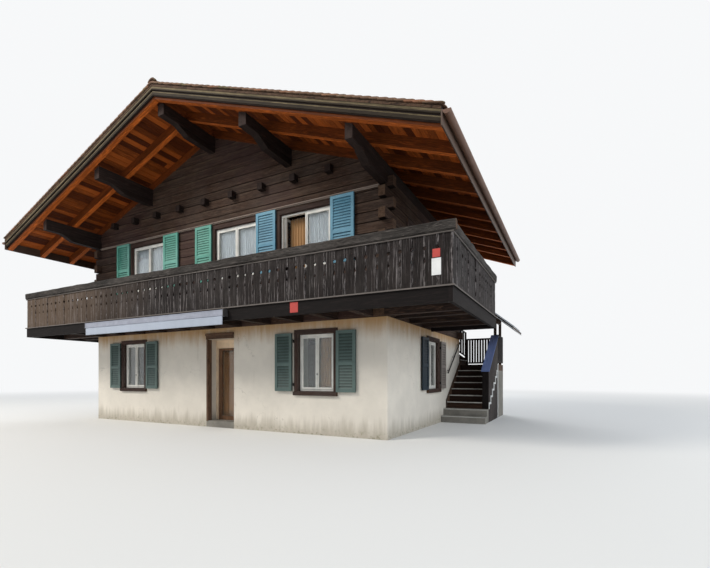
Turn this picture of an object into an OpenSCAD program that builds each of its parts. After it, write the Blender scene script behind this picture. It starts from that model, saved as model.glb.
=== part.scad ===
// Alpine chalet: a rendered masonry ground floor, a storey of squared logs with crossed
// corner ends, and a broad purlin roof. Millimetres, +Z up. The origin lies on the ground
// under the ridge, halfway along the roof. The front gable faces -Y.

/* [House body] */
// Width of the house across the front gable
house_w = 9860; // [9000:10:11000]
// Depth of the house from front to rear wall
house_d = 6100; // [5800:10:8000]
// Thickness of the ground-floor masonry
masonry_t = 420; // [300:10:500]
// Height of the ground-floor masonry
masonry_h = 2550; // [2400:10:2800]
// Thickness of the ground-floor slab
slab_t = 150; // [100:10:180]

/* [Log storey] */
// Thickness of a squared log
log_t = 150; // [120:5:180]
// Number of log courses below the wall plates
log_courses = 13; // [11:1:15]
// Height of one log course
course_h = 222; // [210:1:230]
// How far crossed log ends stand out at the corners
corner_out = 130; // [80:10:180]
// Depth of the groove between two courses
groove_d = 12; // [6:1:20]
// Height of the groove between two courses
groove_h = 26; // [14:2:40]

/* [Floor beams] */
// Width of a first-floor beam
beam_w = 160; // [120:10:200]
// Height of a first-floor beam
beam_h = 200; // [160:10:240]
// Distance between first-floor beams
beam_pitch = 920; // [800:10:1000]
// Thickness of the floor boards
board_t = 30; // [20:2:40]
// Width of a ceiling beam
head_w = 140; // [100:10:180]
// Height of a ceiling beam
head_h = 160; // [120:10:200]
// Height of the ceiling beams above the top log
head_up = 334; // [290:2:350]
// How far ceiling beam heads stand out of the gables
head_out = 150; // [80:10:250]
// Distance between ceiling beams
head_pitch = 944; // [800:4:1000]

/* [Roof] */
// Slope of the roof in degrees
roof_pitch = 20.5; // [19.5:0.1:21.5]
// Height of the wall plates above the top log
plate_h = 242; // [210:2:280]
// Horizontal distance from ridge to tile edge
roof_half = 6620; // [6400:10:6900]
// Roof overhang in front of the front gable
front_over = 1800; // [1500:10:2000]
// Roof overhang behind the rear gable
rear_over = 1200; // [1150:10:1500]
// Thickness of tiles and battens
tile_t = 90; // [60:5:110]
// Thickness of the roof boards
sarking_t = 27; // [20:1:35]
// Depth of a rafter
rafter_h = 200; // [160:10:220]
// Width of a rafter
rafter_w = 120; // [80:10:140]
// Exposed length of one tile course
tile_course = 160; // [120:5:200]
// Radius of the round ridge tiles
ridge_r = 135; // [110:5:160]
// Radius of the eaves gutters
gutter_r = 65; // [50:5:80]

/* [Purlins] */
// Width of a purlin
purlin_w = 190; // [150:10:220]
// Height of a purlin
purlin_h = 270; // [220:10:300]
// Distance of the middle purlins from the ridge
purlin_x = 2430; // [2200:10:2700]
// Distance of the front purlin ends from the roof edge
purlin_in = 260; // [130:10:400]
// Number of log ends stacked under each purlin
console_steps = 1; // [1:1:3]
// Height of a log end under a purlin
console_log = 150; // [120:10:190]
// Reach of the longest log end under a purlin
console_out = 1150; // [900:10:1250]

/* [Balcony] */
// Depth of the front balcony
balcony_d = 1200; // [1000:10:1400]
// Width of the side galleries
gallery_w = 1656; // [1400:4:1680]
// Length of the side galleries beside the house
gallery_l = 3050; // [2600:10:3200]
// Height of the parapet above the floor
parapet_h = 1090; // [1000:10:1200]
// Height of the parapet rail
rail_h = 190; // [140:10:220]
// Depth of the parapet rail
rail_t = 130; // [100:10:160]
// Width of one parapet plank
plank_w = 218; // [180:2:260]
// Thickness of a parapet plank
plank_t = 30; // [22:2:40]
// Thickness of the fascia beam
fascia_t = 70; // [50:5:90]

/* [Front door] */
// Left side of the door opening from the ridge line
door_x = -220; // [-300:10:-100]
// Width of the door opening
door_w = 960; // [900:10:1100]
// Height of the door opening above the slab
door_h = 2130; // [2050:10:2200]
// Height of the door leaf
leaf_h = 1900; // [1800:10:1950]
// Thickness of the door leaf
leaf_t = 50; // [40:2:60]
// Distance of the door leaf behind the wall face
leaf_set = 340; // [200:10:340]
// Clearance round the door leaf
leaf_gap = 9; // [9:1:12]

/* [Windows] */
// Width of an upper window
upper_win_w = 1400; // [1200:10:1450]
// Height of an upper window
upper_win_h = 1350; // [1100:10:1450]
// Height of the upper windows' heads above the floor
upper_head_up = 2330; // [2220:10:2380]
// Width of a lower window
lower_win_w = 950; // [800:10:1000]
// Height of a lower window
lower_win_h = 1310; // [1100:10:1400]
// Height of the lower windows' heads above the slab
lower_head_up = 2130; // [2000:10:2160]
// Width of a window's outer frame
frame_w = 50; // [45:5:70]
// Depth of a window frame
frame_t = 70; // [55:5:90]
// Width of the timber casing round a window
casing_w = 100; // [60:5:110]
// Thickness of the window glass
glass_t = 8; // [6:1:12]

/* [Shutters] */
// Width of an upper shutter
upper_shutter_w = 580; // [500:10:620]
// Width of a lower shutter
lower_shutter_w = 475; // [420:5:520]
// Thickness of a shutter
shutter_t = 45; // [35:5:55]
// Width of a shutter's stiles and rails
shutter_rail = 70; // [50:5:90]
// Distance between louvres
louvre_pitch = 62; // [45:1:80]

/* [Outside stair] */
// Number of risers up to the corner landing
lower_risers = 9; // [8:1:9]
// Number of risers from the landing to the entrance
upper_risers = 6; // [6:1:7]
// Height of the corner landing
landing_z = 1710; // [1620:10:1800]
// Going of one tread
going = 270; // [250:5:280]
// Going of one tread of the upper flight
upper_going = 250; // [230:5:260]
// Width of the stair
stair_w = 1240; // [1100:10:1300]
// Thickness of the stair's side parapet
side_t = 180; // [120:10:200]
// Height of the stair parapet above the nosings
side_h = 900; // [800:10:1000]
// Slope of the stair canopy in degrees
canopy_pitch = 39; // [30:1:40]
// Thickness of a tread
tread_t = 45; // [35:5:60]

/* [Awning] */
// Width of the awning
awning_w = 5000; // [3500:50:6000]
// Right end of the awning from the ridge line
awning_x = 1700; // [1200:50:2000]
// Height and depth of the awning box
awning_box_h = 130; // [100:5:160]
// Drop of the cloth valance
valance_h = 190; // [140:10:240]

/* [Hidden] */
// Gap left between pieces that meet without being joined
seam = 0.4;
// Play between sloping faces that rest on each other
rest = 0.3;
half_w = house_w / 2;
roof_d = front_over + house_d + rear_over;
roof_y0 = -roof_d / 2;
roof_y1 = roof_d / 2;
front_y = roof_y0 + front_over;
rear_y = front_y + house_d;

slope = tan(roof_pitch);
flat = 1 / cos(roof_pitch);
boards_off = tile_t * flat;
rafter_off = (tile_t + sarking_t) * flat;
purlin_off = (tile_t + sarking_t + rafter_h) * flat + rest;
ridge_gap = 5;
tile_butt = 16;
eave_board_t = 25;
eave_x = roof_half - 70;
board_x = eave_x + eave_board_t;

log_top = masonry_h + log_courses * course_h;
floor_z = masonry_h + beam_h + board_t;
ridge_z = log_top + plate_h + half_w * slope + purlin_off;
head_z = log_top + head_up;
attic_z = head_z + head_h;
attic_t = 25;
attic_half = (ridge_z - purlin_off - attic_z - attic_t - 5) / slope;
moulding_h = 60;
moulding_out = 45;

beams = [for (k = [-floor((half_w - log_t - beam_w) / beam_pitch)
    : floor((half_w - log_t - beam_w) / beam_pitch)]) k * beam_pitch];
head_in = 2300;
heads = [for (k = [-1 : 7]) half_w - head_in - k * head_pitch];

purlin_end0 = roof_y0 + purlin_in;
purlin_end1 = roof_y1 - purlin_in / 2;
console_w = purlin_w - 20;
console_flat = 0.72;

verge_t = 35;
rafter_y0 = roof_y0 + 2 * verge_t + 30;
rafter_y1 = roof_y1 - 2 * verge_t - 30 - rafter_w;
inner_rafters = 7;
rafter_ys = concat(
    [rafter_y0, (rafter_y0 + front_y) / 2],
    [for (k = [0 : inner_rafters]) front_y + k * (house_d - rafter_w) / inner_rafters],
    [rafter_y1]);

balcony_y = front_y - balcony_d;
gallery_x = half_w + gallery_w;
gallery_y1 = front_y + gallery_l;
deck_z = floor_z;
fascia_h = 260;
ledge_h = 25;
rail_z = deck_z + parapet_h - rail_h;
plank_z0 = deck_z + ledge_h;
post_w = 90;
post_pitch = 1650;

lower_head_z = slab_t + lower_head_up;
upper_head_z = floor_z + upper_head_up;
lower_sill_z = lower_head_z - lower_win_h;
upper_sill_z = upper_head_z - upper_win_h;
moulding_z = upper_head_z + 140;
gallery_door_in = 1700;
gallery_door_y = front_y + gallery_door_in;
entry_in = 1880;
entry_x = half_w - entry_in;
entry_w = 950;
upper_door_h = 2080;
upper_set = 40;
lower_set = 70;
leaf_stile_w = 45;
open_leaf_t = 45;

// Centres of the windows, each with its width. The front upper ones are named by their
// distance from the right-hand corner of the house.
upper_in = [2040, 4130, 7460];
lower_in = 1755;
front_upper = [for (d = upper_in) [half_w - d, upper_win_w]];
front_lower = [[half_w - lower_in, lower_win_w], [lower_in - half_w, lower_win_w]];
rear_lower = [[-2600, lower_win_w], [600, lower_win_w]];
rear_upper = [[-3000, upper_win_w], [300, upper_win_w]];
side_upper_in = 4300;
side_upper_y = front_y + side_upper_in;
side_upper_w = 1000;

// Left edge of an open shutter on the right or the left of a window, a given gap away
function right_of(w, gap) = w[0] + w[1] / 2 + gap;
function left_of(w, gap, shutter_w) = w[0] - w[1] / 2 - gap - shutter_w;

// Left edges of the open shutters on the front gable, with true where the window lies on the left
near_gap = 10;
far_gap = 85;
side_gap = 10;
lower_right_gap = 95;
lower_left_gap = 140;
upper_shutters_x = [[right_of(front_upper[0], near_gap), true],
    [right_of(front_upper[1], near_gap), true],
    [left_of(front_upper[1], far_gap, upper_shutter_w), false],
    [right_of(front_upper[2], near_gap), true],
    [left_of(front_upper[2], far_gap, upper_shutter_w), false]];
lower_shutters_x = [[right_of(front_lower[0], lower_right_gap), true],
    [left_of(front_lower[0], lower_left_gap, lower_shutter_w), false]];
shutter_stand = 28;

lower_rise = landing_z / lower_risers;
upper_rise = (floor_z - landing_z) / upper_risers;
stair_x0 = half_w;
stair_x1 = half_w + stair_w;
stone_steps = 2;
landing_y0 = rear_y - 40;
landing_d = 1130;
landing_y1 = landing_y0 + landing_d;
foot_y = landing_y0 - (lower_risers - 1) * going;
flight_y = foot_y + stone_steps * going;
stair_clear = 230;
side_win_y = flight_y - stair_clear - lower_shutter_w - side_gap - casing_w - lower_win_w / 2;
flight_y0 = rear_y;
flight_x1 = half_w;
flight_x0 = half_w - (upper_risers - 1) * upper_going;
entry_deck_x0 = entry_x - entry_w / 2 - 250;
string_t = 45;
string_up = 50;
canopy_slope = tan(canopy_pitch);
canopy_z0 = log_top - 1166;
canopy_y0 = rear_y - 1000;
canopy_x1 = stair_x1 + 580;
canopy_t = 70;
canopy_post = 80;
canopy_bearer_h = 130;
baluster_w = 60;
baluster_pitch = 96;
railing_h = 950;
railing_t = 45;

awning_down = 40;

door_set = front_y + leaf_set;
door_frame_w = 70;
door_frame_t = 80;
leaf_x0 = door_x + door_frame_w + leaf_gap;
leaf_w = door_w - 2 * door_frame_w - 2 * leaf_gap;
leaf_y = door_set + door_frame_t - leaf_t - 10;
head_panel_z = slab_t + leaf_h + 2 * leaf_gap;
leaf_stile = 110;
leaf_top_rail = 60;
leaf_foot_rail = 110;
hinge_r = 6;
hinge_h = 80;
hinge_x = leaf_x0 - leaf_gap / 2;
hinge_y = door_set + door_frame_t + hinge_r + 6;
hinge_low = 220;
hinge_high = 260;
hinge_zs = [slab_t + hinge_low, slab_t + leaf_h - hinge_high];

// A box given by its limits
module box(x0, x1, y0, y1, z0, z1) {
    translate([x0, y0, z0])
        cube([x1 - x0, y1 - y0, z1 - z0]);
}

// Extrudes an outline drawn in X and Z from y0 to y1
module along_y(y0, y1) {
    translate([0, y1, 0])
        rotate([90, 0, 0])
            linear_extrude(y1 - y0)
                children();
}

// Extrudes an outline drawn in Y and Z from x0 to x1
module along_x(x0, x1) {
    translate([x0, 0, 0])
        rotate([90, 0, 90])
            linear_extrude(x1 - x0)
                children();
}

// Draws the children and their mirror image on the other side of the ridge line
module both_sides() {
    children();
    mirror([1, 0, 0])
        children();
}

// Height of the stair canopy's upper side at x
function canopy_z(x) = canopy_z0 - (x - stair_x0) * canopy_slope;

// Height of the roof at x, a vertical distance below the tiled surface
function roof_z(x, off = 0) = ridge_z - abs(x) * slope - off;

// Outline of one roof layer between two distances from the ridge
module layer(x0, x1, off, thick) {
    polygon([
        [x0, roof_z(x0, off)], [x0, roof_z(x0, off + thick)],
        [x1, roof_z(x1, off + thick)], [x1, roof_z(x1, off)]]);
}

// Floor slab inside the walls, with the door's threshold
module ground_floor() {
    color("gray") {
        box(-half_w + masonry_t, half_w - masonry_t, front_y + masonry_t, rear_y - masonry_t,
            0, slab_t);
        box(door_x, door_x + door_w, front_y, front_y + masonry_t, 0, slab_t);
    }
}

// An opening cut through a wall that runs along X
module hole_x(cx, w, z0, z1, y, t) {
    box(cx - w / 2, cx + w / 2, y - 1, y + t + 1, z0, z1);
}

// An opening cut through a wall that runs along Y
module hole_y(cy, w, z0, z1, x, t) {
    box(x - 1, x + t + 1, cy - w / 2, cy + w / 2, z0, z1);
}

module front_wall_left() {
    color("linen")
        difference() {
            box(-half_w, door_x, front_y, front_y + masonry_t, 0, masonry_h);
            hole_x(front_lower[1][0], front_lower[1][1], lower_sill_z, lower_head_z, front_y,
                masonry_t);
        }
}

module front_wall_right() {
    color("linen")
        difference() {
            box(door_x + door_w, half_w, front_y, front_y + masonry_t, 0, masonry_h);
            hole_x(front_lower[0][0], front_lower[0][1], lower_sill_z, lower_head_z, front_y,
                masonry_t);
        }
}

module front_wall_lintel() {
    color("linen")
        box(door_x, door_x + door_w, front_y, front_y + masonry_t, slab_t + door_h, masonry_h);
}

module right_wall() {
    color("linen")
        difference() {
            box(half_w - masonry_t, half_w, front_y + masonry_t, rear_y - masonry_t,
                0, masonry_h);
            hole_y(side_win_y, lower_win_w, lower_sill_z, lower_head_z, half_w - masonry_t,
                masonry_t);
        }
}

module left_wall() {
    color("linen")
        difference() {
            box(-half_w, -half_w + masonry_t, front_y + masonry_t, rear_y - masonry_t,
                0, masonry_h);
            hole_y(side_win_y, lower_win_w, lower_sill_z, lower_head_z, -half_w, masonry_t);
        }
}

module rear_wall() {
    color("linen")
        difference() {
            box(-half_w, half_w, rear_y - masonry_t, rear_y, 0, masonry_h);
            for (w = rear_lower)
                hole_x(w[0], w[1], lower_sill_z, lower_head_z, rear_y - masonry_t, masonry_t);
        }
}

// First-floor beams run through both gables and carry the front balcony. Short joists
// carry the side galleries, and one joist at each front corner reaches out to the fascia.
module floor_beams() {
    z1 = masonry_h + beam_h;
    color("saddlebrown") {
        for (x = beams)
            box(x - beam_w / 2, x + beam_w / 2, balcony_y + fascia_t, rear_y, masonry_h, z1);
        both_sides() {
            for (y = [front_y + beam_pitch / 2 : beam_pitch : gallery_y1 - 1.5 * beam_w])
                box(half_w, gallery_x - fascia_t, y - beam_w / 2, y + beam_w / 2,
                    masonry_h, z1);
            box(max(beams) + beam_w / 2 + 0.5, gallery_x - fascia_t,
                front_y - beam_w - 10, front_y - 10, masonry_h, z1);
        }
    }
}

// Boards on the first-floor beams and on the ceiling beams
module floor_boards() {
    color("peru") {
        box(-half_w + log_t, half_w - log_t, front_y + log_t, rear_y - log_t,
            floor_z - board_t, floor_z);
        box(-attic_half, attic_half, front_y + log_t, rear_y - log_t,
            attic_z, attic_z + attic_t);
    }
}

// Section of a log wall: a plain inner face at t, and a groove under each course outside
module log_section(courses, t) {
    g = groove_h / 2;
    outer = [for (k = [0 : courses - 1]) each [
        [k == 0 ? 0 : groove_d, masonry_h + k * course_h],
        [0, masonry_h + k * course_h + g],
        [0, masonry_h + (k + 1) * course_h - g]]];
    polygon(concat(outer, [[0, masonry_h + courses * course_h],
        [t, masonry_h + courses * course_h], [t, masonry_h]]));
}

// Crossed log ends of every second course, from one side of a wall's centre
module log_ends(first, length, t) {
    for (k = [first : 2 : log_courses - 1])
        translate([0, 0, masonry_h + k * course_h])
            cube([length, t, course_h]);
}

// Outline of a gable under the rafters, with the wall plates left out above the logs
module gable_outline() {
    inner = half_w - log_t;
    wide = half_w + corner_out;
    polygon([[-wide, masonry_h], [wide, masonry_h], [wide, log_top], [inner, log_top],
        [inner, roof_z(inner, purlin_off)], [0, roof_z(0, purlin_off)],
        [-inner, roof_z(inner, purlin_off)], [-inner, log_top], [-wide, log_top]]);
}

// A gable of logs seen from outside, with its outer face at y = 0
module log_gable() {
    gable_courses = ceil((ridge_z - masonry_h) / course_h);
    difference() {
        intersection() {
            union() {
                along_x(-half_w + log_t, half_w - log_t)
                    log_section(gable_courses, log_t);
                both_sides()
                    translate([half_w - log_t, 0, 0])
                        log_ends(0, log_t + corner_out, log_t);
            }
            along_y(-1, log_t + 1)
                gable_outline();
        }
        for (x = beams)
            box(x - beam_w / 2, x + beam_w / 2, -1, log_t + 1,
                masonry_h - 1, masonry_h + beam_h);
        for (x = heads)
            box(x - head_w / 2, x + head_w / 2, -1, log_t + 1, head_z, head_z + head_h);
        along_y(-1, log_t + 1) {
            purlin_notch(0, roof_z(0, purlin_off) - purlin_h);
            both_sides()
                purlin_notch(purlin_x, roof_z(purlin_x, purlin_off) - purlin_h);
        }
    }
}

// Opening for a purlin at x in the outline of a gable, open at the top
module purlin_notch(x, bottom) {
    translate([x - purlin_w / 2, bottom])
        square([purlin_w, purlin_h + purlin_w]);
}

// Stepped drip moulding above the upper windows
module gable_moulding() {
    along_x(-half_w + console_w + 10, half_w - console_w - 10)
        polygon([[front_y + 1, moulding_z], [front_y + 1, moulding_z + moulding_h],
            [front_y - moulding_out, moulding_z + moulding_h * 0.7],
            [front_y - moulding_out, moulding_z + moulding_h * 0.35],
            [front_y - moulding_out * 0.5, moulding_z + moulding_h * 0.35],
            [front_y - moulding_out * 0.5, moulding_z]]);
}

module log_wall_front() {
    color("#4a3528") {
        difference() {
            translate([0, front_y, 0])
                log_gable();
            for (w = front_upper)
                hole_x(w[0], w[1], upper_sill_z, upper_head_z, front_y, log_t);
        }
        gable_moulding();
    }
}

module log_wall_rear() {
    color("#4a3528")
        difference() {
            translate([0, rear_y, 0])
                mirror([0, 1, 0])
                    log_gable();
            for (w = rear_upper)
                hole_x(w[0], w[1], upper_sill_z, upper_head_z, rear_y - log_t, log_t);
            hole_x(entry_x, entry_w, floor_z, floor_z + upper_door_h, rear_y - log_t, log_t);
        }
}

// True for the courses whose ends are covered by the console under the wall plate
function under_console(k) =
    masonry_h + (k + 1) * course_h > log_top - console_log * console_steps;

// A side wall of logs: it passes between the gables, and every second course runs through
module log_side() {
    y0 = front_y + log_t;
    y1 = rear_y - log_t;
    difference() {
        union() {
            translate([half_w, 0, 0])
                mirror([1, 0, 0])
                    translate([0, y1, 0])
                        rotate([90, 0, 0])
                            linear_extrude(y1 - y0)
                                log_section(log_courses, log_t);
            for (k = [1 : 2 : log_courses - 1]) {
                out = under_console(k) ? 0 : corner_out;
                box(half_w - log_t, half_w, front_y - out, rear_y + out,
                    masonry_h + k * course_h, masonry_h + (k + 1) * course_h);
            }
        }
        hole_y(side_upper_y, side_upper_w, upper_sill_z, upper_head_z, half_w - log_t, log_t);
        hole_y(gallery_door_y, entry_w, floor_z, floor_z + upper_door_h, half_w - log_t,
            log_t);
    }
}

module log_wall_right() {
    color("#4a3528")
        log_side();
}

module log_wall_left() {
    color("#4a3528")
        mirror([1, 0, 0])
            log_side();
}

module ceiling_beams() {
    color("#3a2a20")
        for (x = heads)
            box(x - head_w / 2, x + head_w / 2, front_y - head_out, rear_y + head_out,
                head_z, head_z + head_h);
}

module ridge_purlin_section() {
    w = purlin_w / 2;
    top = roof_z(0, purlin_off);
    polygon([[-w, top - purlin_h], [w, top - purlin_h], [w, roof_z(w, purlin_off)],
        [0, top], [-w, roof_z(w, purlin_off)]]);
}

// Section of a purlin at x, with its top bevelled to carry the rafters
module side_purlin_section(x, w, h) {
    bottom = roof_z(x, purlin_off) - h;
    polygon([[x - w / 2, bottom], [x + w / 2, bottom],
        [x + w / 2, roof_z(x + w / 2, purlin_off)],
        [x - w / 2, roof_z(x - w / 2, purlin_off)]]);
}

// Outline of a wall plate, from the top log up to the rafters
module plate_section() {
    polygon([[half_w - log_t, log_top], [half_w, log_top],
        [half_w, roof_z(half_w, purlin_off)],
        [half_w - log_t, roof_z(half_w - log_t, purlin_off)]]);
}

module purlins() {
    color("#5a3820")
        along_y(purlin_end0, purlin_end1) {
            ridge_purlin_section();
            both_sides() {
                side_purlin_section(purlin_x, purlin_w, purlin_h);
                plate_section();
            }
        }
}

// Log ends stacked under a purlin, each longer than the one below and cut in an ogee curve.
// u is the distance out from the wall and the top lies at z = 0.
module console_outline(reach) {
    curve_points = 8;
    share = (1 - console_flat) / console_steps;
    drop = console_log * console_steps;
    polygon(concat([[0, 0], [0, -drop]],
        [for (k = [0 : console_steps - 1], j = [0 : curve_points - 1])
            let (s = j / (curve_points - 1))
            [reach * (console_flat + share * (k + s - sin(360 * s) / 9)),
                -drop + console_log * (k + (1 - cos(180 * s)) / 2)]]));
}

// One console at x that grows out from y = 0 towards -Y, under a purlin's underside at top
module console(x, top, reach) {
    translate([x - console_w / 2, 0, top])
        mirror([0, 1, 0])
            rotate([90, 0, 90])
                linear_extrude(console_w)
                    console_outline(reach);
}

// The five consoles of one gable
module gable_consoles(reach) {
    console(0, roof_z(0, purlin_off) - purlin_h, reach);
    both_sides() {
        console(purlin_x, roof_z(purlin_x, purlin_off) - purlin_h, reach);
        console(half_w - console_w / 2, log_top, reach);
    }
}

module purlin_consoles() {
    color("#3a2a20") {
        translate([0, front_y, 0])
            gable_consoles(console_out);
        translate([0, rear_y, 0])
            mirror([0, 1, 0])
                gable_consoles(min(console_out, rear_over - console_log));
    }
}

// Each rafter pair nearly meets at the ridge, and its tails carry the eaves board
module rafters() {
    color("#8a4f26")
        for (y = rafter_ys)
            both_sides()
                along_y(y, y + rafter_w)
                    layer(ridge_gap, eave_x, rafter_off, rafter_h * flat);
}

module roof_boards() {
    color("#9a5a2c")
        both_sides()
            along_y(roof_y0 + verge_t + 30, roof_y1 - verge_t - 30)
                layer(ridge_gap, eave_x, boards_off + rest, sarking_t * flat - 2 * rest);
}

// Two stepped boards at each verge, the upper one furthest out
module verge_pair() {
    upper_h = 140;
    lower_h = 150;
    both_sides() {
        along_y(roof_y0 + 30, roof_y0 + 30 + verge_t)
            layer(ridge_gap, eave_x, boards_off + rest, upper_h * flat);
        along_y(roof_y0 + 30 + verge_t, roof_y0 + 30 + 2 * verge_t)
            layer(ridge_gap, eave_x, rafter_off, lower_h * flat);
    }
}

module verge_boards() {
    color("#8b7a66") {
        verge_pair();
        mirror([0, 1, 0])
            verge_pair();
    }
}

// Eaves boards on the rafter tails, with half-round gutters closed at both ends and held
// by straps
module eaves() {
    z = roof_z(board_x, boards_off) - 20;
    wall = 3;
    straps = 8;
    color("#6e4b35")
        both_sides() {
            along_y(roof_y0 + 30, roof_y1 - 30)
                polygon([[eave_x, roof_z(eave_x, boards_off + rest)],
                    [board_x, roof_z(board_x, boards_off + rest)],
                    [board_x, roof_z(board_x, purlin_off)],
                    [eave_x, roof_z(eave_x, purlin_off)]]);
            along_y(roof_y0 + 20, roof_y1 - 20)
                translate([board_x + gutter_r + 1, z])
                    difference() {
                        circle(r = gutter_r, $fn = 48);
                        circle(r = gutter_r - wall, $fn = 48);
                        translate([-gutter_r - 1, 0])
                            square([2 * gutter_r + 2, gutter_r + 1]);
                    }
            for (y = [roof_y0 + 20, roof_y1 - 20 - wall])
                along_y(y, y + wall)
                    translate([board_x + gutter_r + 1, z])
                        difference() {
                            circle(r = gutter_r, $fn = 48);
                            translate([-gutter_r - 1, 0])
                                square([2 * gutter_r + 2, gutter_r + 1]);
                        }
            for (k = [0 : straps - 1])
                translate([board_x, roof_y0 + 200 + k * (roof_d - 430) / (straps - 1), z - 25])
                    cube([wall + 1, 30, 25]);
        }
}

// Tiled surface of one slope, one step per course
module tile_slope() {
    courses = floor(roof_half / cos(roof_pitch) / tile_course);
    run = roof_half / courses;
    top = [for (k = [0 : courses - 1]) each [
        [max(ridge_gap, k * run), roof_z(k * run)],
        [(k + 1) * run, roof_z((k + 1) * run) + tile_butt]]];
    polygon(concat(top, [[roof_half, roof_z(roof_half, boards_off)],
        [ridge_gap, roof_z(ridge_gap, boards_off)]]));
}

// Part of a round ridge tile's section that lies above the tiled slopes
module ridge_section(r, t) {
    centre_z = ridge_z - 55;
    seat = tile_butt + rest;
    difference() {
        translate([0, centre_z])
            circle(r = r, $fn = 64);
        translate([0, centre_z])
            circle(r = r - t, $fn = 64);
        polygon([[0, ridge_z + seat], [2 * r, roof_z(2 * r) + seat], [2 * r, ridge_z - 4 * r],
            [-2 * r, ridge_z - 4 * r], [-2 * r, roof_z(2 * r) + seat]]);
    }
}

// Both tiled slopes, and the ridge tiles with their collars
module roof_tiles() {
    count = 24;
    pitch = (roof_d - 40) / count;
    color("#6f5a48")
        both_sides()
            along_y(roof_y0, roof_y1)
                tile_slope();
    color("#a0603c") {
        along_y(roof_y0 + 20, roof_y1 - 20)
            ridge_section(ridge_r, 18);
        for (k = [0 : count - 1])
            along_y(roof_y0 + 20 + k * pitch, roof_y0 + 60 + k * pitch)
                ridge_section(ridge_r + 12, 29);
    }
}

// Boards of the front balcony and of both side galleries, cut round the crossed log ends
module balcony_deck() {
    joint = 4;
    x1 = gallery_x - fascia_t;
    color("#7a6350") {
        difference() {
            box(-x1, x1, balcony_y + fascia_t, front_y, deck_z - board_t, deck_z);
            both_sides()
                box(half_w - log_t - joint, half_w + joint, front_y - corner_out - joint,
                    front_y + 1, deck_z - board_t - 1, deck_z + 1);
        }
        both_sides()
            difference() {
                box(half_w, x1, front_y + joint, gallery_y1 - fascia_t, deck_z - board_t,
                    deck_z);
                box(half_w - 1, half_w + corner_out + joint, front_y - 1,
                    front_y + log_t + joint, deck_z - board_t - 1, deck_z + 1);
            }
    }
}

// Fascia beam round the balcony, with the ledge that the planks stand on
module balcony_fascia() {
    fascia_z0 = deck_z - fascia_h;
    ledge_out = 30;
    color("#3a2a20") {
        box(-gallery_x, gallery_x, balcony_y, balcony_y + fascia_t, fascia_z0, deck_z);
        box(-gallery_x - ledge_out, gallery_x + ledge_out, balcony_y - ledge_out,
            balcony_y + fascia_t, deck_z, deck_z + ledge_h);
        both_sides() {
            box(gallery_x - fascia_t, gallery_x, balcony_y + fascia_t + seam, gallery_y1,
                fascia_z0, deck_z);
            box(gallery_x - fascia_t, gallery_x + ledge_out, balcony_y + fascia_t + seam,
                gallery_y1, deck_z, deck_z + ledge_h);
            box(half_w, gallery_x - fascia_t - seam, gallery_y1 - fascia_t, gallery_y1,
                fascia_z0, deck_z + ledge_h);
        }
    }
}

// Cut-outs on one joint between two planks: a ring hole over a slit and a drop
module plank_cutout() {
    translate([0, rail_z - 230])
        circle(r = 36, $fn = 32);
    translate([0, rail_z - 455]) {
        circle(r = 22, $fn = 24);
        polygon([[-21, 6], [21, 6], [0, 90]]);
    }
}

module front_parapet() {
    count = floor(2 * gallery_x / plank_w);
    color("#4a3528")
        along_y(balcony_y + 10, balcony_y + 10 + plank_t)
            difference() {
                translate([-gallery_x, plank_z0])
                    square([2 * gallery_x, rail_z - plank_z0]);
                for (k = [0 : count - 2])
                    translate([(k - (count - 2) / 2) * plank_w, 0])
                        plank_cutout();
            }
}

// Planks along each gallery, and those that close its rear end
module side_parapets() {
    color("#4a3528")
        both_sides() {
            gallery_planks();
            end_planks();
        }
}

module gallery_planks() {
    y0 = balcony_y + 10 + plank_t;
    count = floor((gallery_y1 - y0) / plank_w);
    along_x(gallery_x - 10 - plank_t, gallery_x - 10)
        difference() {
            translate([y0, plank_z0])
                square([gallery_y1 - y0, rail_z - plank_z0]);
            for (k = [1 : count - 1])
                translate([gallery_y1 - k * plank_w, 0])
                    plank_cutout();
        }
}

module end_planks() {
    x1 = gallery_x - 10 - plank_t - seam;
    count = floor((x1 - half_w) / plank_w);
    along_y(gallery_y1 - 10 - plank_t, gallery_y1 - 10)
        difference() {
            translate([half_w, plank_z0])
                square([x1 - half_w, rail_z - plank_z0]);
            for (k = [1 : count - 1])
                translate([x1 - k * plank_w, 0])
                    plank_cutout();
        }
}

// Rough top rails with rounded edges
module rail_outline() {
    soft = 30;
    translate([-rail_t / 2, 0])
        difference() {
            square([rail_t, rail_h]);
            for (m = [0, 1])
                translate([m * rail_t, rail_h])
                    rotate(45)
                        square(soft, center = true);
        }
}

module balcony_rails() {
    out = rail_t / 2 - 25;
    color("#8d8478") {
        translate([-gallery_x - 50, balcony_y + out, rail_z])
            rotate([90, 0, 90])
                linear_extrude(2 * gallery_x + 100)
                    rail_outline();
        both_sides()
            translate([gallery_x - out, gallery_y1 + 40, rail_z])
                rotate([90, 0, 0])
                    linear_extrude(gallery_y1 + 40 - balcony_y - out - rail_t / 2 - seam)
                        rail_outline();
        both_sides()
            translate([half_w, gallery_y1 - out, rail_z])
                rotate([90, 0, 90])
                    linear_extrude(gallery_x - out - rail_t / 2 - seam - half_w)
                        rail_outline();
    }
}

// Posts behind the planks
module parapet_posts() {
    y = balcony_y + fascia_t;
    count = round(2 * gallery_x / post_pitch);
    step = (2 * (gallery_x - fascia_t) - post_w) / count;
    color("#3a2a20") {
        for (k = [0 : count])
            translate([-gallery_x + fascia_t + k * step, y, deck_z])
                cube([post_w, post_w, rail_z - deck_z]);
        both_sides()
            for (y1 = [gallery_y1 - fascia_t, gallery_y1 - fascia_t - post_pitch])
                box(gallery_x - fascia_t - post_w, gallery_x - fascia_t, y1 - post_w, y1,
                    deck_z, rail_z);
    }
}

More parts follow.
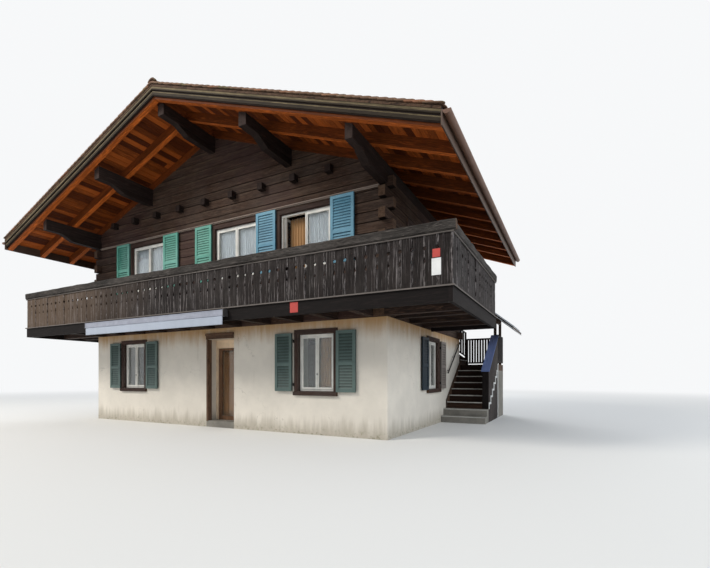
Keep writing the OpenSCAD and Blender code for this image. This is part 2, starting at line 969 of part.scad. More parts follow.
// Panes of a window with one or two leaves, centred on its own origin
module pane_outline(w, h, leaves) {
    inner = w - 2 * frame_w;
    pane = inner / leaves - 2 * leaf_stile_w;
    for (k = [0 : leaves - 1])
        translate([-inner / 2 + k * inner / leaves + leaf_stile_w, frame_w + leaf_stile_w])
            square([pane, h - 2 * frame_w - 2 * leaf_stile_w]);
}

// Outline of a window frame with its leaves
module frame_outline(w, h, leaves) {
    difference() {
        translate([-w / 2, 0])
            square([w, h]);
        pane_outline(w, h, leaves);
    }
}

// The part of a window's outline that its left leaf fills when closed
module left_leaf_outline(w, h) {
    inner = w - 2 * frame_w;
    translate([-inner / 2, frame_w])
        square([inner / 2, h - 2 * frame_w]);
}

// A frame in a wall that runs along X; y is the frame's outer face
module frame_x(cx, w, z0, h, y, leaves = 2) {
    translate([cx, y + frame_t, z0])
        rotate([90, 0, 0])
            linear_extrude(frame_t)
                frame_outline(w, h, leaves);
}

// A frame in a wall that runs along Y; x is the frame's lower face in X
module frame_y(cy, w, z0, h, x, leaves = 2) {
    translate([x, cy, z0])
        rotate([90, 0, 90])
            linear_extrude(frame_t)
                frame_outline(w, h, leaves);
}

// The open leaf stands at right angles behind its frame; thick is its thickness, and
// the children are drawn in the closed leaf's outline
module open_leaf_x(thick) {
    w = front_upper[0];
    inner = w[1] - 2 * frame_w;
    translate([w[0] - inner / 2 + (open_leaf_t - thick) / 2,
        front_y + upper_set + frame_t + seam + inner / 2, upper_sill_z])
        rotate([90, 0, 90])
            linear_extrude(thick)
                children();
}

// The front window whose left leaf stands open into the room
module open_window() {
    w = front_upper[0];
    color("white") {
        translate([w[0], front_y + upper_set + frame_t, upper_sill_z])
            rotate([90, 0, 0])
                linear_extrude(frame_t)
                    difference() {
                        frame_outline(w[1], upper_win_h, 2);
                        left_leaf_outline(w[1], upper_win_h);
                    }
        open_leaf_x(open_leaf_t)
            difference() {
                left_leaf_outline(w[1], upper_win_h);
                pane_outline(w[1], upper_win_h, 2);
            }
    }
}

module window_frames() {
    color("white") {
        for (w = [front_upper[1], front_upper[2]])
            frame_x(w[0], w[1], upper_sill_z, upper_win_h, front_y + upper_set);
        for (w = front_lower)
            frame_x(w[0], w[1], lower_sill_z, lower_win_h, front_y + lower_set);
        for (w = rear_lower)
            frame_x(w[0], w[1], lower_sill_z, lower_win_h, rear_y - lower_set - frame_t);
        for (w = rear_upper)
            frame_x(w[0], w[1], upper_sill_z, upper_win_h, rear_y - upper_set - frame_t);
        frame_x(entry_x, entry_w, floor_z, upper_door_h, rear_y - upper_set - frame_t, 1);
        both_sides() {
            frame_y(side_win_y, lower_win_w, lower_sill_z, lower_win_h,
                half_w - lower_set - frame_t);
            frame_y(side_upper_y, side_upper_w, upper_sill_z, upper_win_h,
                half_w - upper_set - frame_t);
            frame_y(gallery_door_y, entry_w, floor_z, upper_door_h,
                half_w - upper_set - frame_t, 1);
        }
    }
}

// Panes that fill a frame's leaves, in the plane of the frame
module panes_x(cx, w, z0, h, y, leaves = 2) {
    translate([cx, y + frame_t / 2 + glass_t / 2, z0])
        rotate([90, 0, 0])
            linear_extrude(glass_t)
                pane_outline(w, h, leaves);
}

module panes_y(cy, w, z0, h, x, leaves = 2) {
    translate([x + frame_t / 2 - glass_t / 2, cy, z0])
        rotate([90, 0, 90])
            linear_extrude(glass_t)
                pane_outline(w, h, leaves);
}

module window_glass() {
    open_win = front_upper[0];
    color("lightblue", 0.4) {
        intersection() {
            panes_x(open_win[0], open_win[1], upper_sill_z, upper_win_h, front_y + upper_set);
            box(open_win[0], half_w, front_y, front_y + log_t, upper_sill_z, upper_head_z);
        }
        open_leaf_x(glass_t)
            intersection() {
                left_leaf_outline(upper_win_w, upper_win_h);
                pane_outline(upper_win_w, upper_win_h, 2);
            }
        for (w = [front_upper[1], front_upper[2]])
            panes_x(w[0], w[1], upper_sill_z, upper_win_h, front_y + upper_set);
        for (w = front_lower)
            panes_x(w[0], w[1], lower_sill_z, lower_win_h, front_y + lower_set);
        for (w = rear_lower)
            panes_x(w[0], w[1], lower_sill_z, lower_win_h, rear_y - lower_set - frame_t);
        for (w = rear_upper)
            panes_x(w[0], w[1], upper_sill_z, upper_win_h, rear_y - upper_set - frame_t);
        panes_x(entry_x, entry_w, floor_z, upper_door_h, rear_y - upper_set - frame_t, 1);
        both_sides() {
            panes_y(side_win_y, lower_win_w, lower_sill_z, lower_win_h,
                half_w - lower_set - frame_t);
            panes_y(side_upper_y, side_upper_w, upper_sill_z, upper_win_h,
                half_w - upper_set - frame_t);
            panes_y(gallery_door_y, entry_w, floor_z, upper_door_h,
                half_w - upper_set - frame_t, 1);
        }
    }
}

// Timber casing boards round an opening, with a deeper sill, on a wall face at y = 0
module casing(w, h, sill = true) {
    face_t = 22;
    sill_h = 90;
    sill_out = 70;
    wide = w + 2 * casing_w;
    for (x = [-wide / 2, w / 2])
        translate([x, -face_t, 0])
            cube([casing_w, face_t, h - seam]);
    translate([-wide / 2, -face_t, h])
        cube([wide, face_t, casing_w]);
    if (sill)
        translate([-wide / 2, -sill_out, -sill_h])
            cube([wide, sill_out, sill_h - seam]);
}

module timber_casings() {
    color("#5b3a26") {
        for (w = front_lower)
            translate([w[0], front_y, lower_sill_z])
                casing(w[1], lower_win_h);
        for (w = front_upper)
            translate([w[0], front_y, upper_sill_z])
                casing(w[1], upper_win_h);
        for (w = rear_lower)
            translate([w[0], rear_y, lower_sill_z])
                rotate([0, 0, 180])
                    casing(w[1], lower_win_h);
        for (w = rear_upper)
            translate([w[0], rear_y, upper_sill_z])
                rotate([0, 0, 180])
                    casing(w[1], upper_win_h);
        for (m = [0, 1])
            mirror([m, 0, 0]) {
                translate([half_w, side_win_y, lower_sill_z])
                    rotate([0, 0, 90])
                        casing(lower_win_w, lower_win_h);
                translate([half_w, side_upper_y, upper_sill_z])
                    rotate([0, 0, 90])
                        casing(side_upper_w, upper_win_h);
                translate([half_w, gallery_door_y, floor_z])
                    rotate([0, 0, 90])
                        casing(entry_w, upper_door_h, false);
            }
        translate([entry_x, rear_y, floor_z])
            rotate([0, 0, 180])
                casing(entry_w, upper_door_h, false);
        door_casing();
    }
}

// Moulded head over the front door's recess, and a post inside its left edge
module door_casing() {
    x1 = door_x + door_w;
    z1 = slab_t + door_h;
    post_w = 62;
    post_d = 130;
    head = 90;
    drip = 60;
    box(door_x, door_x + post_w, front_y - 10, front_y + post_d, slab_t, z1);
    box(door_x, x1, front_y - 22, front_y, z1 + seam, z1 + head);
    box(door_x, x1, front_y - 45, front_y, z1 + head, z1 + head + drip);
}

// One louvred shutter, its back at y = 0 and its lower left corner at the origin. Two hinge
// blocks reach back to the wall on the side of the window, left or right.
module shutter(w, h, window_left) {
    inner_w = w - 2 * shutter_rail;
    mid = h * 0.46;
    block = 40;
    inset = 95;
    difference() {
        translate([0, -shutter_t, 0])
            cube([w, shutter_t, h]);
        for (z = [shutter_rail, mid + shutter_rail / 2])
            translate([shutter_rail, -shutter_t - 1, z])
                cube([inner_w, shutter_t - 9,
                    (z == shutter_rail ? mid - shutter_rail / 2 : h - shutter_rail) - z]);
    }
    louvres(shutter_rail, mid - shutter_rail / 2, inner_w);
    louvres(mid + shutter_rail / 2, h - shutter_rail, inner_w);
    for (z = [h * 0.12, h * 0.88])
        translate([window_left ? inset : w - inset - block, -1, z - block / 2])
            cube([block, shutter_stand + 1, block]);
}

// Sloping louvres between two heights, fused to the shutter's thin back
module louvres(z0, z1, w) {
    count = floor((z1 - z0) / louvre_pitch);
    step = (z1 - z0) / count;
    along_x(shutter_rail, shutter_rail + w)
        polygon(concat([for (k = [0 : count - 1]) each [
            [-shutter_t + 6, z0 + k * step], [-shutter_t + 26, z0 + (k + 1) * step]]],
            [[-5, z1], [-5, z0]]));
}

module upper_shutters() {
    z0 = upper_sill_z + 20;
    h = upper_head_z + 130 - z0;
    w = upper_shutter_w;
    color("#4f9a84") {
        for (s = upper_shutters_x)
            translate([s[0], front_y - shutter_stand, z0])
                shutter(w, h, s[1]);
        for (win = rear_upper, side = [-1, 1])
            translate([win[0] + side * (win[1] / 2 + casing_w + 20 + w / 2) + w / 2,
                rear_y + shutter_stand, z0])
                rotate([0, 0, 180])
                    shutter(w, h, side < 0);
    }
}

module lower_shutters() {
    z0 = lower_sill_z;
    h = lower_head_z + 30 - z0;
    w = lower_shutter_w;
    color("#3f5f52")
        both_sides() {
            for (s = lower_shutters_x)
                translate([s[0], front_y - shutter_stand, z0])
                    shutter(w, h, s[1]);
            for (side = [-1, 1])
                translate([half_w + shutter_stand,
                    side_win_y + side * (lower_win_w / 2 + casing_w + side_gap + w / 2) - w / 2, z0])
                    rotate([0, 0, 90])
                        shutter(w, h, side > 0);
        }
}

// White frame at the back of the door recess: a fixed panel over the leaf, and the hinge
// pins that the leaf turns on
module door_frame() {
    color("white") {
        for (x = [door_x, door_x + door_w - door_frame_w])
            box(x, x + door_frame_w, door_set, door_set + door_frame_t,
                slab_t, head_panel_z - seam);
        box(door_x, door_x + door_w, door_set, door_set + door_frame_t,
            head_panel_z, slab_t + door_h);
        for (z = hinge_zs) {
            box(hinge_x - 22, hinge_x + 8, door_set + door_frame_t, hinge_y + 11,
                z - 25, z);
            translate([hinge_x, hinge_y, z - 1])
                cylinder(r = hinge_r, h = hinge_h + 1, $fn = 32);
        }
    }
}

// The leaf hangs on its left side and opens inwards
module front_door() {
    top = slab_t + leaf_gap + leaf_h;
    color("white")
        difference() {
            union() {
                box(leaf_x0, leaf_x0 + leaf_w, leaf_y, leaf_y + leaf_t, slab_t + leaf_gap,
                    top);
                for (z = hinge_zs) {
                    translate([hinge_x, hinge_y, z + 1])
                        cylinder(r = hinge_r + 5, h = hinge_h - 1, $fn = 32);
                    box(hinge_x, hinge_x + 45, leaf_y + leaf_t - 1, hinge_y,
                        z + 1, z + hinge_h);
                }
            }
            for (z = hinge_zs)
                translate([hinge_x, hinge_y, z])
                    cylinder(r = hinge_r + 0.06, h = hinge_h + 1, $fn = 32);
            box(leaf_x0 + leaf_stile, leaf_x0 + leaf_w - leaf_stile, leaf_y - 1,
                leaf_y + leaf_t + 1, slab_t + leaf_gap + leaf_foot_rail, top - leaf_top_rail);
        }
}

module door_glass() {
    bottom = slab_t + leaf_gap;
    color("lightblue", 0.4)
        box(leaf_x0 + leaf_stile, leaf_x0 + leaf_w - leaf_stile,
            leaf_y + leaf_t / 2 - glass_t / 2, leaf_y + leaf_t / 2 + glass_t / 2,
            bottom + leaf_foot_rail, bottom + leaf_h - leaf_top_rail);
}

// Stone foot steps, and the masonry pier that carries the corner landing
module stair_base() {
    color("darkgray") {
        for (k = [0 : stone_steps - 1])
            box(stair_x0, stair_x1, foot_y + k * going, foot_y + (k + 1) * going - seam,
                0, (k + 1) * lower_rise);
        box(stair_x0, stair_x1, landing_y0, landing_y1, 0, landing_z - 200);
    }
}

// Treads of the lower flight, each with its riser board, and of the upper flight
module stair_treads() {
    nosing = 25;
    riser_t = 18;
    slack = 1;
    color("#5c5348") {
        for (k = [stone_steps : lower_risers - 2]) {
            y = foot_y + k * going;
            z = (k + 1) * lower_rise;
            box(stair_x0 + string_t, stair_x1 - side_t, y - nosing, y + going - slack,
                z - tread_t, z);
            box(stair_x0 + string_t, stair_x1 - side_t, y, y + riser_t,
                z - lower_rise + slack, z - tread_t);
        }
        for (k = [0 : upper_risers - 2]) {
            x = flight_x1 - k * upper_going;
            z = landing_z + (k + 1) * upper_rise;
            box(x - upper_going + slack, x + nosing, flight_y0 + string_t,
                landing_y1 - string_t, z - tread_t, z);
            box(x - riser_t, x, flight_y0 + string_t, landing_y1 - string_t,
                z - upper_rise + slack, z - tread_t);
        }
    }
}

// Height of the line through the lower flight's nosings at y
function nosing_z(y) = ((y - foot_y) / going + 1) * lower_rise;

// White stepped edge on the outer side of the lower flight, ending at a corner strip
module stair_trim() {
    strip = 55;
    steps = lower_risers - stone_steps;
    upper = [for (k = [0 : steps - 1]) each [
        [flight_y + k * going, (stone_steps + k) * lower_rise],
        [flight_y + k * going, (stone_steps + k + 1) * lower_rise]]];
    lower = [for (k = [steps - 1 : -1 : 0]) each [
        [flight_y + k * going + strip, (stone_steps + k + 1) * lower_rise - strip],
        [flight_y + k * going + strip, (stone_steps + k) * lower_rise - (k == 0 ? 0 : strip)]]];
    color("white")
        along_x(stair_x1 - 1, stair_x1 + 18) {
            difference() {
                polygon(concat(upper, [[landing_y0, landing_z],
                    [landing_y0, landing_z - strip]], lower));
                translate([landing_y0 - strip, 0])
                    square([2 * strip, landing_z + 1]);
            }
            translate([landing_y0 - strip, 0])
                square([strip, landing_z]);
        }
}

// Boarded side of the lower flight down to the ground, under a sloping cap
module stair_parapet() {
    cap_t = 40;
    cap_over = 25;
    color("#2d2620") {
        along_x(stair_x1 - side_t, stair_x1)
            polygon([[flight_y, 0], [landing_y0, 0], [landing_y0, landing_z + side_h],
                [flight_y, nosing_z(flight_y) + side_h]]);
        along_x(stair_x1 - side_t - cap_over, stair_x1 + cap_over)
            polygon([[flight_y - cap_over, nosing_z(flight_y - cap_over) + side_h],
                [landing_y0, landing_z + side_h], [landing_y0, landing_z + side_h + cap_t],
                [flight_y - cap_over, nosing_z(flight_y - cap_over) + side_h + cap_t]]);
    }
    stair_trim();
}

// Sloping string board under one side of a straight flight drawn as u along, v up
module string_outline(run, rise, steps, below) {
    length = run * steps;
    climb = rise * steps;
    polygon([[0, rise - below], [0, rise + string_up], [length, climb + rise + string_up],
        [length, climb + rise - below]]);
}

// Landing and entrance deck with their joists and posts, and the strings of both flights
module stair_frame() {
    deck_t = 40;
    joist_h = 160;
    post = 100;
    joist_z = floor_z - deck_t - joist_h;
    color("#6b5a48") {
        box(stair_x0, stair_x1, landing_y0, landing_y1, landing_z - deck_t, landing_z);
        box(stair_x0, stair_x1, landing_y0, landing_y1, landing_z - deck_t - joist_h,
            landing_z - deck_t);
        box(entry_deck_x0, flight_x0, flight_y0, landing_y1, floor_z - deck_t, floor_z);
        for (y = [flight_y0, landing_y1 - 60])
            box(entry_deck_x0, flight_x0, y, y + 60, joist_z, floor_z - deck_t);
        for (x = [entry_deck_x0, flight_x0 - post])
            box(x, x + post, landing_y1 - post, landing_y1, 0, joist_z - seam);
        intersection() {
            translate([stair_x0, flight_y, stone_steps * lower_rise])
                rotate([90, 0, 90])
                    linear_extrude(string_t)
                        string_outline(going, lower_rise, lower_risers - stone_steps - 1, 300);
            box(stair_x0, stair_x0 + string_t, flight_y, landing_y0 - seam,
                stone_steps * lower_rise - going, floor_z);
        }
        for (y = [flight_y0, landing_y1 - string_t])
            translate([flight_x1 - seam, y + string_t, landing_z])
                mirror([1, 0, 0])
                    rotate([90, 0, 0])
                        linear_extrude(string_t)
                            string_outline((flight_x1 - flight_x0 - 2 * seam)
                                / (upper_risers - 1), upper_rise, upper_risers - 1, 320);
    }
}

// A flat railing of upright bars between two rails; climb raises its far end
module railing(length, climb) {
    bar = baluster_w;
    rail = 55;
    count = ceil(length / baluster_pitch);
    gap = (length - bar) / count;
    for (z = [60, railing_h - rail])
        polygon([[0, z], [length, z + climb], [length, z + climb + rail], [0, z + rail]]);
    for (k = [0 : count])
        let (u = k * gap)
        polygon([[u, (k == 0 ? 0 : 75) + climb * u / length],
            [u + bar, (k == 0 ? 0 : 75) + climb * (u + bar) / length],
            [u + bar, railing_h - 20 + climb * (u + bar) / length],
            [u, railing_h - 20 + climb * u / length]]);
}

// Railings of the corner landing, the upper flight and the entrance deck
module stair_railings() {
    t = railing_t;
    color("#2d2620") {
        translate([stair_x0, landing_y1, landing_z])
            rotate([90, 0, 0])
                linear_extrude(t)
                    railing(stair_x1 - stair_x0, 0);
        translate([stair_x1 - t, landing_y0, landing_z])
            rotate([90, 0, 90])
                linear_extrude(t)
                    railing(landing_d - t - seam, 0);
        translate([flight_x1 - seam, landing_y1, landing_z + upper_rise + string_up + rest])
            mirror([1, 0, 0])
                rotate([90, 0, 0])
                    linear_extrude(t)
                        railing(flight_x1 - flight_x0 - seam,
                            (flight_x1 - flight_x0) / upper_going * upper_rise);
        translate([entry_deck_x0, landing_y1, floor_z])
            rotate([90, 0, 0])
                linear_extrude(t)
                    railing(flight_x0 - entry_deck_x0 - seam, 0);
        translate([entry_deck_x0, flight_y0 + seam, floor_z])
            rotate([90, 0, 90])
                linear_extrude(t)
                    railing(landing_y1 - flight_y0 - t - 2 * seam, 0);
    }
}

// Round handrail on the side wall, on three brackets
module handrail() {
    r = 19;
    x = stair_x0 + 70;
    y0 = flight_y;
    y1 = rear_y - log_t - 60;
    rail_up = 850;
    run = y1 - y0;
    climb = nosing_z(y1) - nosing_z(y0);
    color("black") {
        translate([x, y0, nosing_z(y0) + rail_up])
            rotate([-atan2(run, climb), 0, 0])
                cylinder(r = r, h = norm([run, climb]), $fn = 24);
        for (s = [0.08, 0.5, 0.92])
            translate([stair_x0, y0 + s * run, nosing_z(y0 + s * run) + rail_up])
                rotate([0, 90, 0])
                    cylinder(r = 8, h = 70, $fn = 16);
    }
}

// Section of a ledger or beam right under the canopy
module canopy_bearer(x0, x1, off) {
    polygon([[x0, canopy_z(x0) - off], [x1, canopy_z(x1) - off],
        [x1, canopy_z(x1) - off - canopy_bearer_h], [x0, canopy_z(x1) - off - canopy_bearer_h]]);
}

// Lean-to roof over the stair head, cut round the crossed log ends, on a wall ledger,
// an outer beam and two posts that stand on the landing
module stair_canopy() {
    y1 = roof_y1 - 60;
    under = canopy_t / cos(canopy_pitch);
    beam_x1 = stair_x1 - railing_t - seam;
    beam_x0 = beam_x1 - canopy_post;
    ledger_x1 = stair_x0 + 70;
    clear = 5;
    color("#6b5a48") {
        difference() {
            along_y(canopy_y0, y1)
                polygon([[stair_x0, canopy_z(stair_x0)], [canopy_x1, canopy_z(canopy_x1)],
                    [canopy_x1, canopy_z(canopy_x1) - under],
                    [stair_x0, canopy_z(stair_x0) - under]]);
            box(stair_x0 - 1, stair_x0 + corner_out + clear, rear_y - log_t - clear,
                rear_y + clear, masonry_h, log_top);
        }
        along_y(canopy_y0, rear_y - log_t - clear)
            canopy_bearer(stair_x0, ledger_x1, under + seam);
        along_y(canopy_y0 + 40, landing_y1 - railing_t - seam)
            canopy_bearer(beam_x0, beam_x1, under + seam);
        for (y = [landing_y0, landing_y1 - railing_t - seam - canopy_post])
            box(beam_x0, beam_x1, y, y + canopy_post, landing_z,
                canopy_z(beam_x1) - under - canopy_bearer_h - 2 * seam);
    }
}

// Awning box on the balcony edge, between two end plates
module awning_box() {
    z1 = deck_z - awning_down;
    z0 = z1 - awning_box_h;
    plate_t = 14;
    edge = 12;
    color("whitesmoke") {
        box(awning_x - awning_w, awning_x, balcony_y - awning_box_h, balcony_y, z0, z1);
        for (x = [awning_x - awning_w - seam - plate_t, awning_x + seam])
            box(x, x + plate_t, balcony_y - awning_box_h - edge, balcony_y, z0 - edge,
                z1 + edge);
    }
}

module awning_valance() {
    y = balcony_y - awning_box_h;
    z1 = deck_z - awning_down - awning_box_h - rest;
    inset = 20;
    color("white")
        box(awning_x - awning_w + inset, awning_x - inset, y + 4, y + 8, z1 - valance_h, z1);
}

ground_floor();
front_wall_left();
front_wall_right();
front_wall_lintel();
right_wall();
left_wall();
rear_wall();
floor_beams();
floor_boards();
log_wall_front();
log_wall_rear();
log_wall_left();
log_wall_right();
ceiling_beams();
purlins();
purlin_consoles();
rafters();
roof_boards();
verge_boards();
eaves();
roof_tiles();
balcony_deck();
balcony_fascia();
front_parapet();
side_parapets();
balcony_rails();
parapet_posts();
window_frames();
open_window();
window_glass();
timber_casings();
upper_shutters();
lower_shutters();
door_frame();
front_door();
door_glass();
stair_base();
stair_treads();
stair_parapet();
stair_frame();
stair_railings();
handrail();
stair_canopy();
awning_box();
awning_valance();
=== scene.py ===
"""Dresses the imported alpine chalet: timber, render, tiles, shutters, glass and light."""

import math
import random

import bpy
from bpy.props import FloatProperty, FloatVectorProperty, IntProperty, PointerProperty
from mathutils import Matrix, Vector


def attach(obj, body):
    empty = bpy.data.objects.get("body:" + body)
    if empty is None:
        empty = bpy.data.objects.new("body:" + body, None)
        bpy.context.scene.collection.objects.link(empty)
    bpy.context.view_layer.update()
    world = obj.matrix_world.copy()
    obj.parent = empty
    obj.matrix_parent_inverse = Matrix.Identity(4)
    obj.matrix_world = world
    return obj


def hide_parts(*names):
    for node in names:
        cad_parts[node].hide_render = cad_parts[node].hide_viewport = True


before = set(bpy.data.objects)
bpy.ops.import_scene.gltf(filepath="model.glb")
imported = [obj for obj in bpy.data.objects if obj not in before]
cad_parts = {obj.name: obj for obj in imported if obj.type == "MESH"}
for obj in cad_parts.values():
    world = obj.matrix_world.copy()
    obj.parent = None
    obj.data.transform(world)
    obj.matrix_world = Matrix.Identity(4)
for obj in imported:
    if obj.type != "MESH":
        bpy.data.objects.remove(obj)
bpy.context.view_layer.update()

bl_info = {
    "name": "Alpine Chalet",
    "version": (2, 0, 0),
    "blender": (4, 5, 0),
    "location": "3D View > Sidebar > Chalet",
    "description": "Builds the looks of a log chalet around its construction model",
    "category": "Add Mesh",
}

BODY = "house"
LEAF = "door"

# Construction values that the pieces line up with, in metres: walls and floors
HALF_W = 4.93
FRONT_Y = -2.75
REAR_Y = 3.35
MID_Y = 0.30
SLAB_T = 0.15
MASONRY_H = 2.55
MASONRY_T = 0.42
COURSE_H = 0.222
LOG_T = 0.15
LOG_TOP = 5.436
FLOOR_Z = 2.78
FLOOR_BEAM_PITCH, FLOOR_BEAM_Z = 0.92, 2.65
CEILING_BEAM_PITCH, CEILING_BEAM_X, CEILING_BEAM_Z = 0.944, 2.63, 5.85

# Roof: heights on the ridge's line, and distances from the middle of the house
RIDGE_Z = 7.86
PITCH = math.radians(20.5)
SLOPE = math.tan(PITCH)
SLOPE_LENGTH = 1.0 / math.cos(PITCH)
ROOF_HALF = 6.62
ROOF_Y = 4.55
EAVE_X = 6.55
EAVE_BOARD_X = 6.575
GUTTER_R = 0.065
PURLIN_PITCH, PURLIN_MIDDLE_Z = 2.43, 7.385
RAFTER_PITCH, RAFTER_DEPTH = 0.8543, 0.23
VERGE_UPPER = (0.0975, 0.162)
VERGE_LOWER = (0.192, 0.270)

# Balcony and galleries
GALLERY_X = 6.586
GALLERY_END_Y = 0.30
BALCONY_Y = -3.95
FASCIA_T = 0.070
PARAPET_T = 0.040
RAIL_Z = 3.68
PLANK_Z0 = 2.805
PLANK_W = 0.218
PLANK_T = 0.027
PLANK_IN = 0.0125
PLANK_CLEAR = 0.0006
FRONT_PLANKS = 58

# Outside stair and its canopy
STAIR_X0 = HALF_W
STAIR_X1 = HALF_W + 1.24
FOOT_Y = 1.15
FLIGHT_Y = 1.69
LANDING_Y = 3.31
LANDING_END_Y = 4.44
LANDING_Z = 1.71
GOING = 0.27
RISE = 0.19
SIDE_H = 0.90
CANOPY_Y0 = 2.35
CANOPY_Y1 = 4.49
CANOPY_Z0 = 4.27
CANOPY_X1 = STAIR_X1 + 0.58
CANOPY_SLOPE = math.tan(math.radians(39.0))

# Front door, shutters, awning and cloth
FRONT_DOOR_X0, FRONT_DOOR_X1, FRONT_DOOR_HEAD = -0.22, 0.74, 2.28
SHUTTER_OUT = 0.073
AWNING_X0, AWNING_X1, AWNING_Y = -3.30, 1.70, -4.083
CLOTH_T = 0.0024

# Openings: sills, heads and widths, how deep the frames lie in the wall, and middles
UPPER_SILL, UPPER_HEAD, UPPER_W, UPPER_REVEAL = 3.76, 5.11, 1.40, 0.040
LOWER_SILL, LOWER_HEAD, LOWER_W, LOWER_REVEAL = 0.97, 2.28, 0.95, 0.070
SIDE_UPPER_W = 1.00
DOOR_W, DOOR_HEAD = 0.95, FLOOR_Z + 2.08
OPEN_WINDOW_X = 2.89
FRONT_UPPER_X = (OPEN_WINDOW_X, 0.80, -2.53)
FRONT_LOWER_X = (3.175, -3.175)
REAR_UPPER_X = (-3.0, 0.3)
REAR_LOWER_X = (-2.6, 0.6)
SIDE_LOWER_Y, SIDE_UPPER_Y, GALLERY_DOOR_Y = 0.40, 1.55, -1.05
ENTRY_X = 3.05

# The camera fitted to the photograph's lines, the floor and the backdrop
CAMERA_PLACE = (8.301, -10.644, 1.300)
CAMERA_TURN = math.radians(27.58)
CAMERA_SHIFT = 0.131
FLOOR_REACH = 90.0
FADE_START, FADE_END = 12.0, 40.0
HAZE = (0.93, 0.94, 0.95, 1.0)
SKY_LIGHT = (0.86, 0.92, 1.0, 1.0)


def roof_z(x, off=0.0):
    """Height at x of what lies a distance straight below the tiled surface."""
    return RIDGE_Z - abs(x) * SLOPE - off


def nosing_z(y):
    """Height of the line through the lower flight's nosings."""
    return ((y - FOOT_Y) / GOING + 1.0) * RISE


def canopy_z(x):
    """Height of the canopy's surface."""
    return CANOPY_Z0 - (x - STAIR_X0) * CANOPY_SLOPE


# Trees written as expressions


def operation(name, swapped=False):
    """A method that sends its value, and the other one if there is one, through a maths node."""
    def method(self, *others):
        operands = (*others, self) if swapped else (self, *others)
        return self.graph.node("ShaderNodeMath", {"operation": name}, dict(enumerate(operands)))
    return method


class Value:
    """A socket of a tree that can be used in sums, products and comparisons."""

    def __init__(self, graph, socket):
        self.graph = graph
        self.socket = socket

    __add__, __radd__ = operation("ADD"), operation("ADD", swapped=True)
    __sub__, __rsub__ = operation("SUBTRACT"), operation("SUBTRACT", swapped=True)
    __mul__, __rmul__ = operation("MULTIPLY"), operation("MULTIPLY", swapped=True)
    __truediv__, __mod__ = operation("DIVIDE"), operation("MODULO")
    __gt__, __lt__ = operation("GREATER_THAN"), operation("LESS_THAN")
    __abs__, floor, root = operation("ABSOLUTE"), operation("FLOOR"), operation("SQRT")
    sine, cosine, turn_of = operation("SINE"), operation("COSINE"), operation("ARCTAN2")
    most, least, wrap = operation("MAXIMUM"), operation("MINIMUM"), operation("FRACT")


class Graph:
    """A node tree of shaders or of geometry."""

    def __init__(self, tree):
        self.tree = tree
        tree.nodes.clear()

    def node(self, kind, settings=None, sockets=None, out=0):
        """Adds a node: its settings first, then a value or a link for each socket."""
        made = self.tree.nodes.new(kind)
        for key, value in (settings or {}).items():
            if key == "stops":
                ramp = made.color_ramp
                while len(ramp.elements) > 1:
                    ramp.elements.remove(ramp.elements[-1])
                ramp.elements[0].position, ramp.elements[0].color = value[0][0], rgba(value[0][1])
                for where, shade in value[1:]:
                    ramp.elements.new(where).color = rgba(shade)
            else:
                setattr(made, key, value)
        for key, value in (sockets or {}).items():
            if isinstance(value, Value):
                self.tree.links.new(value.socket, made.inputs[key])
            else:
                made.inputs[key].default_value = value
        return Value(self, made.outputs[out])

    def vector(self, x, y, z):
        return self.node("ShaderNodeCombineXYZ", None, {0: x, 1: y, 2: z})

    def parts(self, vector):
        """The three parts of a vector."""
        split = self.tree.nodes.new("ShaderNodeSeparateXYZ")
        self.tree.links.new(vector.socket, split.inputs[0])
        return [Value(self, out) for out in split.outputs]

    def join(self, a, b, how="ADD"):
        """Adds two vectors, or multiplies them part by part."""
        return self.node("ShaderNodeVectorMath", {"operation": how}, {0: a, 1: b})

    def scaled(self, vector, factor):
        return self.node(
            "ShaderNodeVectorMath", {"operation": "SCALE"}, {0: vector, "Scale": factor}
        )

    def in_sight(self):
        """1 for rays from the camera, and for those that gloss and glass send on."""
        path = self.tree.nodes.new("ShaderNodeLightPath")
        straight, glossy, through = (
            Value(self, path.outputs[kind])
            for kind in ("Is Camera Ray", "Is Glossy Ray", "Is Transmission Ray")
        )
        return straight.most(glossy).most(through)


